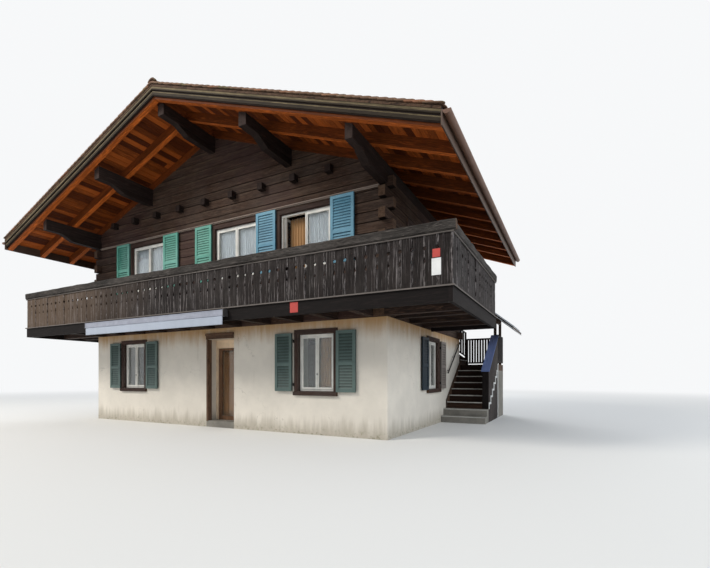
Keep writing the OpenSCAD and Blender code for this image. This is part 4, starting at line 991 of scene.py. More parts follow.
def gathered(name, place, width, height, depth, folds, material, seed):
    """A curtain in soft folds, as a closed sheet; returns the piece and its flat size."""
    draw = random.Random(seed)
    columns, rows = folds * 10, 10
    phase = [draw.uniform(-0.5, 0.5) for _ in range(folds + 2)]
    points = []
    line = 0.0
    for side in (-CLOTH_T / 2, CLOTH_T / 2):
        for j in range(rows + 1):
            before = None
            for i in range(columns + 1):
                s, v = i / columns, j / rows
                soft = phase[int(s * folds)] * (1.0 - v)
                fold = math.sin((s * folds + soft * 0.3) * math.tau) * depth * (0.75 + 0.25 * v)
                point = (place[0] + s * width, place[1] + fold + side,
                         place[2] + height * (1.0 - v))
                points.append(point)
                if side > 0 and before:
                    line += math.dist(before[:2], point[:2]) / (rows + 1)
                before = point
    mesh = closed_sheet(name, points, columns, rows)
    mesh.materials.append(material)
    for face in mesh.polygons:
        face.use_smooth = True
    return placed(name, mesh), (line, height)


# Operators


class CHALET_OT_masonry(bpy.types.Operator):
    """Finish the rendered ground floor and the stone steps"""

    bl_idname = "chalet.masonry"
    bl_label = "Masonry"

    def execute(self, context):
        render = finish("lime_render", lime_render)
        for node in ("front_wall_left", "front_wall_right", "front_wall_lintel", "right_wall",
                     "left_wall", "rear_wall"):
            dress(node, render)
        for node in ("ground_floor", "stair_base"):
            dress(node, stone())
        return {"FINISHED"}


class CHALET_OT_timber(bpy.types.Operator):
    """Finish the log walls, beams, purlins and rafters"""

    bl_idname = "chalet.timber"
    bl_label = "Timber frame"

    def execute(self, context):
        s = settings().timber
        dark, light, grey = tuple(s.log), tuple(s.log_sun), tuple(s.grey)
        # sun lays patches of painted sunlight on the log walls
        front = finish("log_front", wood, logs_x, dark, light, grey, weather=0.18, sun=0.25,
                       over=pale_moulding)
        side = finish("log_side", wood, logs_y, dark, light, grey, weather=0.18, sun=0.3,
                      over=logs_with_painted_highlight)
        for node in ("log_wall_front", "log_wall_rear"):
            dress(node, front)
        for node in ("log_wall_left", "log_wall_right"):
            dress(node, side)
        beam = tuple(s.beam)
        dress("floor_beams", finish("floor_beams", wood, floor_beam_grain, times(beam, 1.4),
                                    times(light, 1.1)))
        dress("ceiling_beams", finish("ceiling_beams", wood, ceiling_beam_grain, beam,
                                      times(beam, 2.2), sawn=times(beam, 1.6)))
        dress("purlins", finish("purlins", wood, purlin_grain, times(beam, 1.2),
                                times(beam, 3.0), sawn=times(beam, 2.4)))
        dress("purlin_consoles", finish("consoles", wood, purlin_grain, beam, times(beam, 2.4),
                                        sawn=times(beam, 1.8)))
        soffit = tuple(s.soffit)
        # dark rafter colours stand for the shaded sides; lit_rafter_undersides paints light on the
        # undersides
        dress("rafters", finish("rafters", wood, rafter_grain, times(soffit, 0.22),
                                times(soffit, 0.6), over=lit_rafter_undersides))
        dress("floor_boards", finish("floor_boards", wood, planks("y", "x", 0.14), light,
                                     soffit))
        roof_planks(finish("soffit", wood, by_board, times(soffit, 0.40), times(soffit, 1.3),
                           crack=0.3, over=uneven_boards))
        verge(s)
        return {"FINISHED"}


def logs_with_painted_highlight(f, colour, roughness, height):
    """Logs get a painted highlight along their upper edges, paler weathered streaks, and
    wine-brown clouds.
    """
    place = ((f.z - MASONRY_H) / COURSE_H).wrap()
    ragged = f.noise(f.stretched(0.8, 0.8, 7.0), 3.0, 5.0, 0.65)
    # edge is a painted highlight along the top of each log; streak adds paler weathered streaks
    edge = f.step(place, 0.58, 0.90) * (1.0 - f.step(place, 0.92, 0.97))
    edge = edge * f.step(ragged, 0.42, 0.62)
    streak = f.step(f.noise(f.stretched(0.3, 0.3, 16.0), 2.0, 5.0, 0.62), 0.50, 0.66)
    cloud = f.step(f.noise(f.place, 0.45, 3.0, 0.55), 0.46, 0.62)
    colour = f.mix(cloud * 0.45, colour, srgb(58, 40, 42))
    colour = f.mix(edge.most(streak * 0.7) * 0.42, colour, srgb(108, 90, 76))
    return colour, roughness, height


def pale_moulding(f, colour, roughness, height):
    """The thin moulding over the gable's windows is washed pale."""
    colour, roughness, height = logs_with_painted_highlight(f, colour, roughness, height)
    low, high = LOG_TOP - 0.187, LOG_TOP - 0.125
    band = (f.z > low) * (f.z < high) * (f.y < FRONT_Y - 0.003)
    return f.mix(band * 0.8, colour, srgb(150, 136, 126)), roughness, height


def lit_rafter_undersides(f, colour, roughness, height):
    """The rafters' undersides get painted light: lighter and warmer than their sides, which stay
    dark as in shade.
    """
    normal = f.node("ShaderNodeNewGeometry", out="True Normal")
    below = f.step(f.parts(normal)[2] * -1.0, 0.5, 0.9)
    # painted light: the downward faces lifted as if lit from below
    warm = f.lift(colour, 3.4)
    return f.mix(below, colour, warm), roughness, height


def uneven_boards(f, colour, roughness, height):
    """Boards under the roof differ much: some fresh orange, some dark and red."""
    tone = f.chance(f.attribute("tone") * 53.0)
    fresh = f.mix(0.5, colour, tuple(settings().timber.soffit))
    dark = f.mix(0.35, f.lift(colour, 0.42), srgb(70, 24, 12))
    colour = f.mix(f.step(tone, 0.2, 0.5), dark, colour)
    return f.mix(f.step(tone, 0.6, 0.85), colour, fresh), roughness, height


def roof_planks(material):
    """Planks along the ridge, butted at random places, with open joints."""
    boards = Boards(11)
    joint = 0.006
    count = 46
    pitch = (EAVE_X - joint) * SLOPE_LENGTH / count
    y0, y1 = -ROOF_Y + 0.066, ROOF_Y - 0.066
    shortest, from_end = 0.3, 1.5
    for side in (-1, 1):
        face = (side * math.sin(PITCH), 0.0, math.cos(PITCH))
        for k in range(count):
            x = joint + (k + 0.5) * pitch * math.cos(PITCH)
            z = roof_z(x, 0.1107)
            breaks = sorted(boards.draw.uniform(y0 + from_end, y1 - from_end) for _ in range(2))
            for a, b in zip([y0] + breaks, breaks + [y1]):
                if b - a > shortest:
                    boards.add((side * x, a + 0.001, z), (side * x, b - 0.001, z), face,
                               pitch - joint, 0.0255, edge=0.003)
    settle(boards.piece("roof_planks", material), "timber", "roof_boards")


def verge_edges(f, colour, roughness, height):
    """The verge boards are bleached along their upper edges and dark below."""
    depth = RIDGE_Z - (f.z + abs(f.x) * SLOPE)
    upper = depth < VERGE_UPPER[0] + 0.0385
    lower = (depth > VERGE_LOWER[0] - 0.002) * (depth < VERGE_LOWER[0] + 0.022)
    dark = f.mix(0.5, f.lift(colour, 0.30), tuple(settings().timber.beam))
    return f.mix(upper.most(lower), dark, colour), roughness, height


def verge_strip(boards, end, side, y_in, thick, depths, x0=0.0, x1=EAVE_X):
    """A board on the verge between two depths below the tiles, its ends cut upright."""
    off = sum(depths) / 2
    y = end * (ROOF_Y - y_in - thick / 2)
    boards.add((side * x1, y, roof_z(x1, off)), (side * x0, y, roof_z(x0, off)),
               (0.0, end, 0.0), (depths[1] - depths[0]) * math.cos(PITCH), thick,
               cut=side * end * SLOPE, edge=0.003)


def verge(s):
    """Two light boards with a dark joint at each verge, mitred under the ridge."""
    pale = srgb(138, 123, 94)
    light = finish("verge_board", wood, by_board, times(pale, 0.4), times(pale, 1.1), pale,
                   weather=0.5, over=verge_edges)
    dark = finish("verge_filler", wood, by_board, tuple(s.beam), times(s.beam, 2.0))
    boards, filler = Boards(21), Boards(22)
    butt = 3.1
    for end in (-1, 1):
        for side in (-1, 1):
            for x0, x1 in ((0.0, butt), (butt + 0.002, EAVE_X)):
                verge_strip(boards, end, side, 0.030, 0.028, VERGE_UPPER, x0, x1)
                verge_strip(boards, end, side, 0.052, 0.014, VERGE_LOWER, x0, x1)
            verge_strip(filler, end, side, 0.0664, 0.033, (0.126, 0.284))
            verge_strip(filler, end, side, 0.0600, 0.006, (VERGE_UPPER[0], 0.190))
    settle(boards.piece("verge_light", light), "timber", "verge_boards")
    settle(filler.piece("verge_dark", dark), "timber", "verge_boards")


class CHALET_OT_roof(bpy.types.Operator):
    """Lay the tiles, the ridge and the gutters"""

    bl_idname = "chalet.roof"
    bl_label = "Roof tiles"

    def execute(self, context):
        s = settings().roof
        tiles = finish("clay", clay, tuple(s.clay), tuple(s.moss))
        rule = tiles_rule()
        columns = round(2 * ROOF_Y / s.tile_w)
        for side, name in ((1, "tiles_right"), (-1, "tiles_left")):
            piece = laid(
                name, tile_template(s), rule, tiles, Columns=columns, Courses=s.courses,
                Width=2 * ROOF_Y / columns, Length=s.tile_l,
                Run=(ROOF_HALF - 0.004) * SLOPE_LENGTH, HalfDepth=ROOF_Y, Ridge=RIDGE_Z,
                Pitch=PITCH, Tilt=0.087, Lift=0.0145, Wobble=(0.006, 0.008, 0.010),
                Seed=s.seed + side,
            )
            if side < 0:
                for point in piece.data.vertices:
                    point.co.x, point.co.y = -point.co.x, -point.co.y
            settle(piece, "clay", "roof_tiles")
        settle(tile_bed(), "timber", "roof_tiles")
        count, inset = 24, 0.02
        ridge = laid(
            "ridge_tiles", ridge_template(), rows_rule(), tiles, Columns=count,
            Start=(0.0, inset - ROOF_Y, RIDGE_Z - 0.055),
            Step=(0.0, 2 * (ROOF_Y - inset) / count, 0.0), Wobble=(0.004, 0.010, 0.006),
            Jitter=(0.002, 0.0, 0.0), Seed=s.seed + 3,
        )
        settle(ridge, "clay", "roof_tiles")
        gutters()
        return {"FINISHED"}


def tile_template(s):
    """A flat tile with a rounded lower end; its origin is the middle of that end."""
    half, nose = s.tile_w / 2 - 0.0015, 0.05
    outline = [(-s.tile_l, -half)]
    for a in map(math.radians, (-90, -58, -28, 0, 28, 58, 90)):
        outline.append((nose * math.cos(a) - nose, half * math.sin(a)))
    outline.append((-s.tile_l, half))
    tile = Boards(1)
    tile.shape(outline, (0.0, 0.0, 0.0), (1.0, 0.0, 0.0), (0.0, 1.0, 0.0), s.tile_t)
    return tile.mesh("tile", toned=False)


def tile_bed():
    """Battens and felt under the tiles, set back from the verges and eaves."""
    x1, y1 = ROOF_HALF - 0.06, ROOF_Y - 0.025
    points = []
    for off in (0.050, 0.0955):
        for y in (-y1, y1):
            points += [(x, y, roof_z(x, off)) for x in (x1, 0.0, -x1)]
    mesh = closed_sheet("tile_bed", points, 2, 1)
    beam = tuple(settings().timber.beam)
    mesh.materials.append(finish("bed", wood, planks("y", "x", 0.16), beam, times(beam, 2.0)))
    return placed("tile_bed", mesh)


def ridge_template():
    """A half-round ridge tile whose front end is a thicker collar."""
    stations = ((0.0, 0.012), (0.040, 0.012), (0.044, 0.0), (0.378, -0.008))
    outer, thick = 0.135, 0.016
    low, high = math.radians(30), math.radians(150)
    steps = 10
    points = []
    for radius_at in (lambda swell: outer + swell, lambda swell: outer - thick):
        for y, swell in stations:
            for k in range(steps + 1):
                a = low + (high - low) * k / steps
                radius = radius_at(swell)
                points.append((radius * math.cos(a), y, radius * math.sin(a)))
    return closed_sheet("ridge_tile", points, steps, len(stations) - 1)


def gutters():
    """Finish of the eaves, with a bead on each gutter's rim and straps across it."""
    s = settings().timber

    def board_behind(f, colour):
        """The eaves board behind the gutter is wood."""
        plain = f.noise(f.stretched(9.0, 0.7, 9.0), 9.0, 5.0, 0.6)
        timber = f.mix(plain, times(s.log, 0.9), times(s.log_sun, 0.9))
        return f.mix(abs(f.x) > EAVE_BOARD_X + 0.0008, timber, colour)

    tin = finish("gutter_metal", metal, srgb(102, 72, 56), 0.5, 0.15, 0.35, over=board_behind)
    dress("eaves", tin)
    plain = finish("strap_metal", metal, srgb(96, 70, 56), 0.5, 0.2, 0.4)
    z = roof_z(EAVE_BOARD_X, 0.0961) - 0.020
    gap, length, thick = 0.0012, 0.128, 0.003
    count, inset = 13, 0.22
    strap = Boards(41)
    strap.add((0.0, 0.0, 0.0), (length, 0.0, 0.0), (0.0, 0.0, 1.0), 0.025, thick, edge=0.001)
    for side, name in ((1, "gutter_straps_right"), (-1, "gutter_straps_left")):
        x = EAVE_BOARD_X + gap if side > 0 else -EAVE_BOARD_X - gap - length
        piece = laid(name, strap.mesh("strap", toned=False), rows_rule(), plain, Columns=count,
                     Start=(x, inset - ROOF_Y, z + 0.0018),
                     Step=(0.0, 2 * (ROOF_Y - inset) / (count - 1), 0.0),
                     Jitter=(0.0, 0.01, 0.0), Wobble=(0.0, 0.0, 0.02), Seed=5)
        settle(piece, "steel")
    bead = Boards(42)
    wide = 0.009
    for side in (-1, 1):
        x = side * (EAVE_BOARD_X + 2 * GUTTER_R - 0.004)
        bead.add((x, 0.022 - ROOF_Y, z), (x, ROOF_Y - 0.022, z), (0.0, 0.0, 1.0), wide, wide,
                 steps=12)
    settle(bead.piece("gutter_beads", plain), "steel")


class CHALET_OT_balcony(bpy.types.Operator):
    """Build the balcony's planks, rails and nails"""

    bl_idname = "chalet.balcony"
    bl_label = "Balcony"

    def execute(self, context):
        s = settings().timber
        plank, grey = tuple(s.plank), tuple(s.grey)
        material = finish("parapet_plank", wood, by_board, times(plank, 0.42),
                          times(plank, 1.2), grey, weather=0.12, knots=0.5, over=silvered)
        front_planks(material)
        side_planks(material)
        rails(s)
        nails()
        dress("balcony_fascia", finish("fascia", wood, fascia_grain, times(plank, 0.35),
                                       times(plank, 0.95), over=pale_ledge))
        dress("parapet_posts", finish("posts", wood, planks("z", "x", 2.0), plank,
                                      times(plank, 2.0)))
        dress("balcony_deck", finish("deck", wood, planks("x", "y", 0.14, FRONT_Y, 0.06),
                                     times(s.log, 1.2), tuple(s.log_sun), grey, weather=0.4))
        return {"FINISHED"}


def silvered(f, colour, roughness, height):
    """Dry silver streaks run down the planks, and the left of the front is paler: partly bleached
    by the sun, partly painted sunlight.
    """
    along, across, _, number = by_board(f)[:4]
    lines = f.noise(f.vector(along * 1.3, across * 55.0, number * 7.0), 1.0, 5.0, 0.65)
    flakes = f.noise(f.vector(along * 9.0, across * 80.0, number * 3.0), 1.0, 3.0, 0.6)
    edge = f.step(abs(across), PLANK_W / 2 - 0.024, PLANK_W / 2 - 0.004)
    # partly sun bleaching, partly painted sunlight on the left of the front
    sunlit_and_bleached = f.noise(f.place, 0.55, 3.0) * 4.0 + (f.x - 2.0)
    sunlit_and_bleached = (1.0 - f.step(sunlit_and_bleached, -5.0, -0.5)) * (f.y < BALCONY_Y + 0.06)
    silver = f.step(lines, 0.54, 0.70) * (flakes + 0.15) + edge * f.step(flakes, 0.46, 0.62) * 0.55
    colour = f.mix(sunlit_and_bleached * 0.42, colour, srgb(118, 98, 80))
    return f.mix(silver, colour, srgb(150, 143, 142)), roughness, height + silver * 0.3


def fascia_grain(f):
    """Grain along the fascia on each side of the balcony."""
    side = abs(f.x) > GALLERY_X - FASCIA_T - 0.0005
    front = f.y < BALCONY_Y + FASCIA_T + 0.0003
    along = f.y * side + f.x * (1.0 - side)
    along = along * (1.0 - front) + f.x * front
    return (along, f.y * (1.0 - side) + f.x * side, f.z - 2.6, side * 5.0 + front * 3.0, 0.0,
            None)


def pale_ledge(f, colour, roughness, height):
    """The ledge under the planks is washed pale."""
    grey = tuple(settings().timber.grey)
    ledge = f.z > FLOOR_Z + 0.0005
    pale = f.mix(f.noise(f.place, 6.0, 5.0, 0.7), times(grey, 0.75), times(grey, 1.25))
    return f.mix(ledge * 0.85, colour, pale), roughness, height


def half_cutout(edge_u, sign):
    """Points up one edge of a plank, round half a drop and half a ring."""
    drop_z, drop_r, drop_tip = RAIL_Z - 0.455, 0.022, 0.084
    ring_z, ring_r = RAIL_Z - 0.230, 0.036

    def arc(z, radius, *degrees):
        for degree in degrees:
            a = math.radians(degree)
            yield edge_u - sign * max(PLANK_CLEAR, radius * math.cos(a)), z + radius * math.sin(a)

    return [*arc(drop_z, drop_r, -90, -45, 0, 15),
            (edge_u - sign * PLANK_CLEAR, drop_z + drop_tip),
            *arc(ring_z, ring_r, -90, -60, -30, 0, 30, 60, 90)]


def plank_outline(width, left=True, right=True):
    """A parapet plank with half cut-outs on the edges that meet another plank."""
    w = width / 2
    low, high = PLANK_Z0 + 0.0005, RAIL_Z - 0.0005
    up = [(w - PLANK_CLEAR, low), *(half_cutout(w, 1) if right else ()), (w - PLANK_CLEAR, high)]
    down = [(PLANK_CLEAR - w, low), *(half_cutout(-w, -1) if left else ()),
            (PLANK_CLEAR - w, high)]
    return up + down[::-1]


def plank_run(name, material, node, **sizes):
    """A run of like planks beside each other, cut at every joint."""
    plank = Boards(51)
    plank.shape(plank_outline(PLANK_W), (0.0, 0.0, 0.0), (1.0, 0.0, 0.0), (0.0, 0.0, 1.0),
                PLANK_T, PLANK_W / 2)
    piece = laid(name, plank.mesh("plank", toned=False), rows_rule(), material,
                 Wobble=(0.003, 0.0005, 0.0), **sizes)
    settle(piece, "timber", node)


def end_plank(boards, width, place, across, cut_left):
    """A plank of another width at the end of a run, cut on the edge that meets the run."""
    outline = plank_outline(width, left=cut_left, right=not cut_left)
    boards.shape(outline, place, across, (0.0, 0.0, 1.0), PLANK_T, width / 2)


def front_planks(material):
    """The front parapet's planks, and a wider one at each end up to the corners."""
    y = BALCONY_Y + PLANK_IN
    half = FRONT_PLANKS / 2 * PLANK_W
    plank_run("planks_front", material, "front_parapet", Columns=FRONT_PLANKS,
              Start=(PLANK_W / 2 - half, y, 0.0), Step=(PLANK_W, 0.0, 0.0),
              Jitter=(0.0002, 0.002, 0.0), Seed=3)
    ends = Boards(52)
    wide = GALLERY_X - half
    for side in (-1, 1):
        end_plank(ends, wide, (side * (half + wide / 2), y, 0.0), (1.0, 0.0, 0.0), side > 0)
    settle(ends.piece("planks_front_ends", material), "timber", "front_parapet")


def side_planks(material):
    """The planks along both galleries and across their ends, with odd ones at the corners."""
    y0 = BALCONY_Y + PARAPET_T
    along = int((GALLERY_END_Y - y0) / PLANK_W) - 1
    along_rest = GALLERY_END_Y - y0 - along * PLANK_W
    x0, x1 = HALF_W + 0.002, GALLERY_X - PARAPET_T
    back = int((x1 - HALF_W) / PLANK_W) - 1
    back_rest = x1 - back * PLANK_W - x0
    y_back = GALLERY_END_Y - PLANK_IN
    tips = Boards(53)
    for side, word in ((1, "right"), (-1, "left")):
        x = side * (GALLERY_X - PLANK_IN)
        plank_run("planks_" + word, material, "side_parapets", Columns=along,
                  Start=(x, GALLERY_END_Y - PLANK_W / 2, 0.0), Step=(0.0, -PLANK_W, 0.0),
                  Turn=(0.0, 0.0, side * math.pi / 2), Seed=8 + side)
        end_plank(tips, along_rest, (x, y0 + along_rest / 2, 0.0), (0.0, side, 0.0), side < 0)
        plank_run("planks_end_" + word, material, "side_parapets", Columns=back,
                  Start=(side * (x1 - PLANK_W / 2), y_back, 0.0),
                  Step=(-side * PLANK_W, 0.0, 0.0), Turn=(0.0, 0.0, math.pi), Seed=14)
        end_plank(tips, back_rest, (side * (x0 + back_rest / 2), y_back, 0.0),
                  (-1.0, 0.0, 0.0), side > 0)
    settle(tips.piece("planks_corner", material), "timber", "side_parapets")


def rails(s):
    """Rough-hewn top rails, greyed by the weather, with a pale batten under their edge."""
    grey = tuple(s.grey)
    hewn = finish("hewn_rail", wood, by_board, times(grey, 0.12), times(grey, 0.8), grey,
                  weather=0.3, rough=0.8, crack=0.9)
    pale = finish("rail_batten", wood, by_board, times(grey, 0.7), times(grey, 1.25), grey,
                  weather=0.5)
    height, deep = 0.19, 0.13
    hewing = dict(edge=0.028, rough=0.012)
    z = RAIL_Z + height / 2
    rail = Boards(61)
    y = BALCONY_Y + PARAPET_T
    for x0, x1 in ((-GALLERY_X - 0.05, -2.2), (-2.198, 2.4), (2.402, GALLERY_X + 0.05)):
        rail.add((x0, y, z), (x1, y, z), (0.0, -1.0, 0.0), height, deep, steps=18, **hewing)
    y_end = GALLERY_END_Y - PARAPET_T
    for side in (-1, 1):
        x = side * (GALLERY_X - PARAPET_T)
        rail.add((x, y + deep / 2 + 0.001, z), (x, GALLERY_END_Y + 0.04, z), (side, 0.0, 0.0),
                 height, deep, steps=18, **hewing)
        x = side * (GALLERY_X - PARAPET_T - deep / 2 - 0.001)
        rail.add((side * HALF_W, y_end, z), (x, y_end, z), (0.0, 1.0, 0.0), height, deep,
                 steps=8, **hewing)
    settle(rail.piece("hewn_rails", hewn), "timber", "balcony_rails")
    strip = Boards(62)
    thick, z = 0.022, RAIL_Z - 0.012
    x, y = GALLERY_X + 0.0005, BALCONY_Y - 0.0005
    strip.add((-GALLERY_X - 0.02, y, z), (GALLERY_X + 0.02, y, z), (0.0, -1.0, 0.0), thick,
              thick, steps=12)
    for side in (-1, 1):
        strip.add((side * x, BALCONY_Y + 0.012, z), (side * x, GALLERY_END_Y, z), (side, 0.0, 0.0),
                  thick, thick, steps=6)
    settle(strip.piece("rail_battens", pale), "timber")


def nails():
    """Nail heads in two rows on the parapet planks."""
    head = bpy.data.meshes.new("nail")
    radius, sides = 0.006, 8
    ring = [(radius * math.cos(k * math.tau / sides), radius * math.sin(k * math.tau / sides))
            for k in range(sides)]
    points = [(u, 0.001, v) for u, v in ring] + [(u * 0.7, -0.0025, v * 0.7) for u, v in ring]
    faces = [(k, (k + 1) % sides, (k + 1) % sides + sides, k + sides) for k in range(sides)]
    faces += [tuple(range(sides, 2 * sides)), tuple(reversed(range(sides)))]
    head.from_pydata(points, [], faces)
    rust = finish("nail_rust", metal, srgb(70, 50, 42), 0.6, 0.6, 0.6)
    rule = rows_rule()
    low, apart, inset = PLANK_Z0 + 0.09, 0.66, 0.045

    def rows(name, **sizes):
        settle(laid(name, head.copy(), rule, rust, Rows=2, RowStep=(0.0, 0.0, apart), **sizes),
               "steel")

    first = (1 - FRONT_PLANKS) / 2 * PLANK_W
    side_planks_nailed = 17
    for name, x in (("nails_front_a", first + inset), ("nails_front_b", first - inset)):
        rows(name, Columns=FRONT_PLANKS, Start=(x, BALCONY_Y + PLANK_IN - 0.001, low),
             Step=(PLANK_W, 0.0, 0.0), Jitter=(0.006, 0.0, 0.012), Seed=4)
    for side, name in ((1, "nails_right"), (-1, "nails_left")):
        x = side * (GALLERY_X - PLANK_IN + 0.001)
        rows(name, Columns=side_planks_nailed, Start=(x, GALLERY_END_Y - PLANK_W / 2, low),
             Step=(0.0, -PLANK_W, 0.0), Turn=(0.0, 0.0, side * math.pi / 2),
             Jitter=(0.0, 0.03, 0.012), Seed=6)


# Places on the four walls, seen from outside: u to the right, out of the wall, height

WALLS = {
    "front": (lambda u, out, z: (u, FRONT_Y - out, z), (1.0, 0.0, 0.0), (0.0, -1.0, 0.0)),
    "rear": (lambda u, out, z: (-u, REAR_Y + out, z), (-1.0, 0.0, 0.0), (0.0, 1.0, 0.0)),
    "right": (lambda u, out, z: (HALF_W + out, u, z), (0.0, 1.0, 0.0), (1.0, 0.0, 0.0)),
    "left": (lambda u, out, z: (-HALF_W - out, -u, z), (0.0, -1.0, 0.0), (-1.0, 0.0, 0.0)),
}


def wall_openings():
    """Each window and upper door: wall, middle, width, sill, head, reveal and what kind."""
    upper = (UPPER_W, UPPER_SILL, UPPER_HEAD, UPPER_REVEAL, "upper")
    lower = (LOWER_W, LOWER_SILL, LOWER_HEAD, LOWER_REVEAL, "lower")
    door = (DOOR_W, FLOOR_Z, DOOR_HEAD, UPPER_REVEAL, "door")
    found = [("front", x, *upper) for x in FRONT_UPPER_X]
    found += [("front", x, *lower) for x in FRONT_LOWER_X]
    found += [("rear", -x, *upper) for x in REAR_UPPER_X]
    found += [("rear", -x, *lower) for x in REAR_LOWER_X]
    for wall, sign in (("right", 1), ("left", -1)):
        found.append((wall, sign * SIDE_LOWER_Y, *lower))
        found.append((wall, sign * SIDE_UPPER_Y, SIDE_UPPER_W, *upper[1:]))
        found.append((wall, sign * GALLERY_DOOR_Y, *door))
    found.append(("rear", -ENTRY_X, *door))
    return found


def upright(boards, wall, u, out, z0, z1, face, wide, thick, edge=0.004):
    """A board up a wall, its middle a distance out from the wall's face."""
    at = WALLS[wall][0]
    boards.add(at(u, out, z0), at(u, out, z1), face, wide, thick, edge=edge)


def level(boards, wall, u0, u1, out, z, high, thick, edge=0.004):
    """A board along a wall, its middle a distance out from the wall's face."""
    at, _, face = WALLS[wall]
    boards.add(at(u0, out, z), at(u1, out, z), face, high, thick, edge=edge)


class CHALET_OT_openings(bpy.types.Operator):
    """Trim the windows and doors, paint the shutters and hang the curtains"""

    bl_idname = "chalet.openings"
    bl_label = "Windows and doors"

    def execute(self, context):
        s = settings()
        casing = tuple(s.timber.casing)
        white = finish("white_paint", paint, tuple(s.paint.white), times(s.timber.grey, 0.8))
        dress("window_frames", white)
        dress("open_window", white)
        # The door frame's white paint is tinted cream: painted warm bounce light.
        dress("door_frame", finish("cream_paint", paint, srgb(230, 205, 174),
                                   times(s.timber.grey, 0.8)))
        dress("window_glass", finish("glass", pane, (0.84, 0.88, 0.88)))
        dress("door_glass", finish("door_glass", pane, (0.86, 0.74, 0.58)))
        dress("upper_shutters", finish("upper_paint", paint, tuple(s.paint.green),
                                       times(s.paint.green, 0.5), 0.5, upper_shades))
        dress("lower_shutters", finish("lower_paint", paint, tuple(s.paint.lower),
                                       times(s.paint.lower, 0.5), 0.5, lower_shades))
        dress("front_door", finish("door_wood", wood, planks("z", "x", 0.3, 0.0, 0.0),
                                   srgb(108, 80, 60), srgb(148, 112, 84), rough=0.55))
        trims(finish("casing_wood", wood, by_board, times(casing, 0.8), times(casing, 1.9),
                     times(s.timber.grey, 0.6), weather=0.3))
        fittings(white)
        curtains(s)
        return {"FINISHED"}


def upper_shades(f, shade):
    """The shutters right of the middle of the front are bluer; all are faded in patches, with
    painted shade between the louvres and a painted highlight on their outer edges.
    """
    front = f.y < 0.0
    blue = (f.x > 1.0) * front
    colour = f.mix(blue, shade, tuple(settings().paint.blue))
    faded = f.step(f.noise(f.stretched(1.0, 1.0, 0.6), 1.2, 3.0), 0.45, 0.7)
    return louvre_shade_and_wear(f, f.mix(faded * 0.25, colour, srgb(150, 190, 184)), 0.34)


def lower_shades(f, shade):
    """One shutter of each side window is darker, and the other brown; all get painted shade
    between the louvres and a painted highlight on their outer edges.
    """
    side = abs(f.x) > HALF_W + 0.01
    colour = f.mix(side, shade, srgb(8, 30, 44))
    return louvre_shade_and_wear(f, f.mix(side * (f.y > SIDE_LOWER_Y), colour, srgb(122, 114, 108)), 0.6)


def louvre_shade_and_wear(f, colour, depth):
    """Painted shade, with some dirt, lies deep between the louvres, and their outer edges get a
    painted highlight with some wear.
    """
    out = (FRONT_Y - f.y).most(f.y - REAR_Y).most(abs(f.x) - HALF_W)
    # painted shade deep between the louvres, painted highlight on their outer edges
    lit_and_rubbed = f.step(out, SHUTTER_OUT - 0.026, SHUTTER_OUT - 0.008)
    return f.lift(colour, lit_and_rubbed * depth + (1.06 - depth))


def trims(material):
    """Casings with sills and dark reveals, and the trim of the front door."""
    boards = Boards(71)
    face_t, wide, sill_h, sill_out, lining = 0.022, 0.10, 0.09, 0.070, 0.012
    for wall, mid, width, z0, z1, deep, kind in wall_openings():
        _, across, out = WALLS[wall]
        for sign in (-1, 1):
            upright(boards, wall, mid + sign * (width + wide) / 2, face_t / 2, z0, z1 - 0.0005,
                    out, wide, face_t)
            upright(boards, wall, mid + sign * (width - lining) / 2, -deep / 2, z0, z1,
                    across, deep - 0.001, lining, 0.002)
        u0, u1 = mid - width / 2, mid + width / 2
        level(boards, wall, u0 - wide, u1 + wide, face_t / 2, z1 + wide / 2, wide, face_t)
        inner = (boards, wall, u0 + lining, u1 - lining, -deep / 2)
        level(*inner, z1 - lining / 2, lining, deep - 0.001, 0.002)
        if kind != "door":
            level(boards, wall, u0 - wide, u1 + wide, sill_out / 2, z0 - sill_h / 2,
                  sill_h - 0.0008, sill_out, 0.009)
            level(*inner, z0 + lining / 2, lining, deep - 0.001, 0.002)
    settle(boards.piece("casing_boards", material), "timber", "timber_casings")

    warm = settings().timber.log_sun
    boards = Boards(77)
    post_w, post_deep = 0.062, 0.140
    upright(boards, "front", FRONT_DOOR_X0 + post_w / 2, -0.060, SLAB_T, FRONT_DOOR_HEAD,
            (0.0, -1.0, 0.0), post_w, post_deep, 0.006)
    level(boards, "front", FRONT_DOOR_X0, FRONT_DOOR_X1, 0.011, 2.325, 0.089, 0.022)
    level(boards, "front", FRONT_DOOR_X0, FRONT_DOOR_X1, 0.0225, 2.400, 0.060, 0.045, 0.008)
    settle(boards.piece("door_trim", finish("door_trim", wood, by_board, times(warm, 0.9),
                                            times(warm, 2.4))), "timber", "timber_casings")


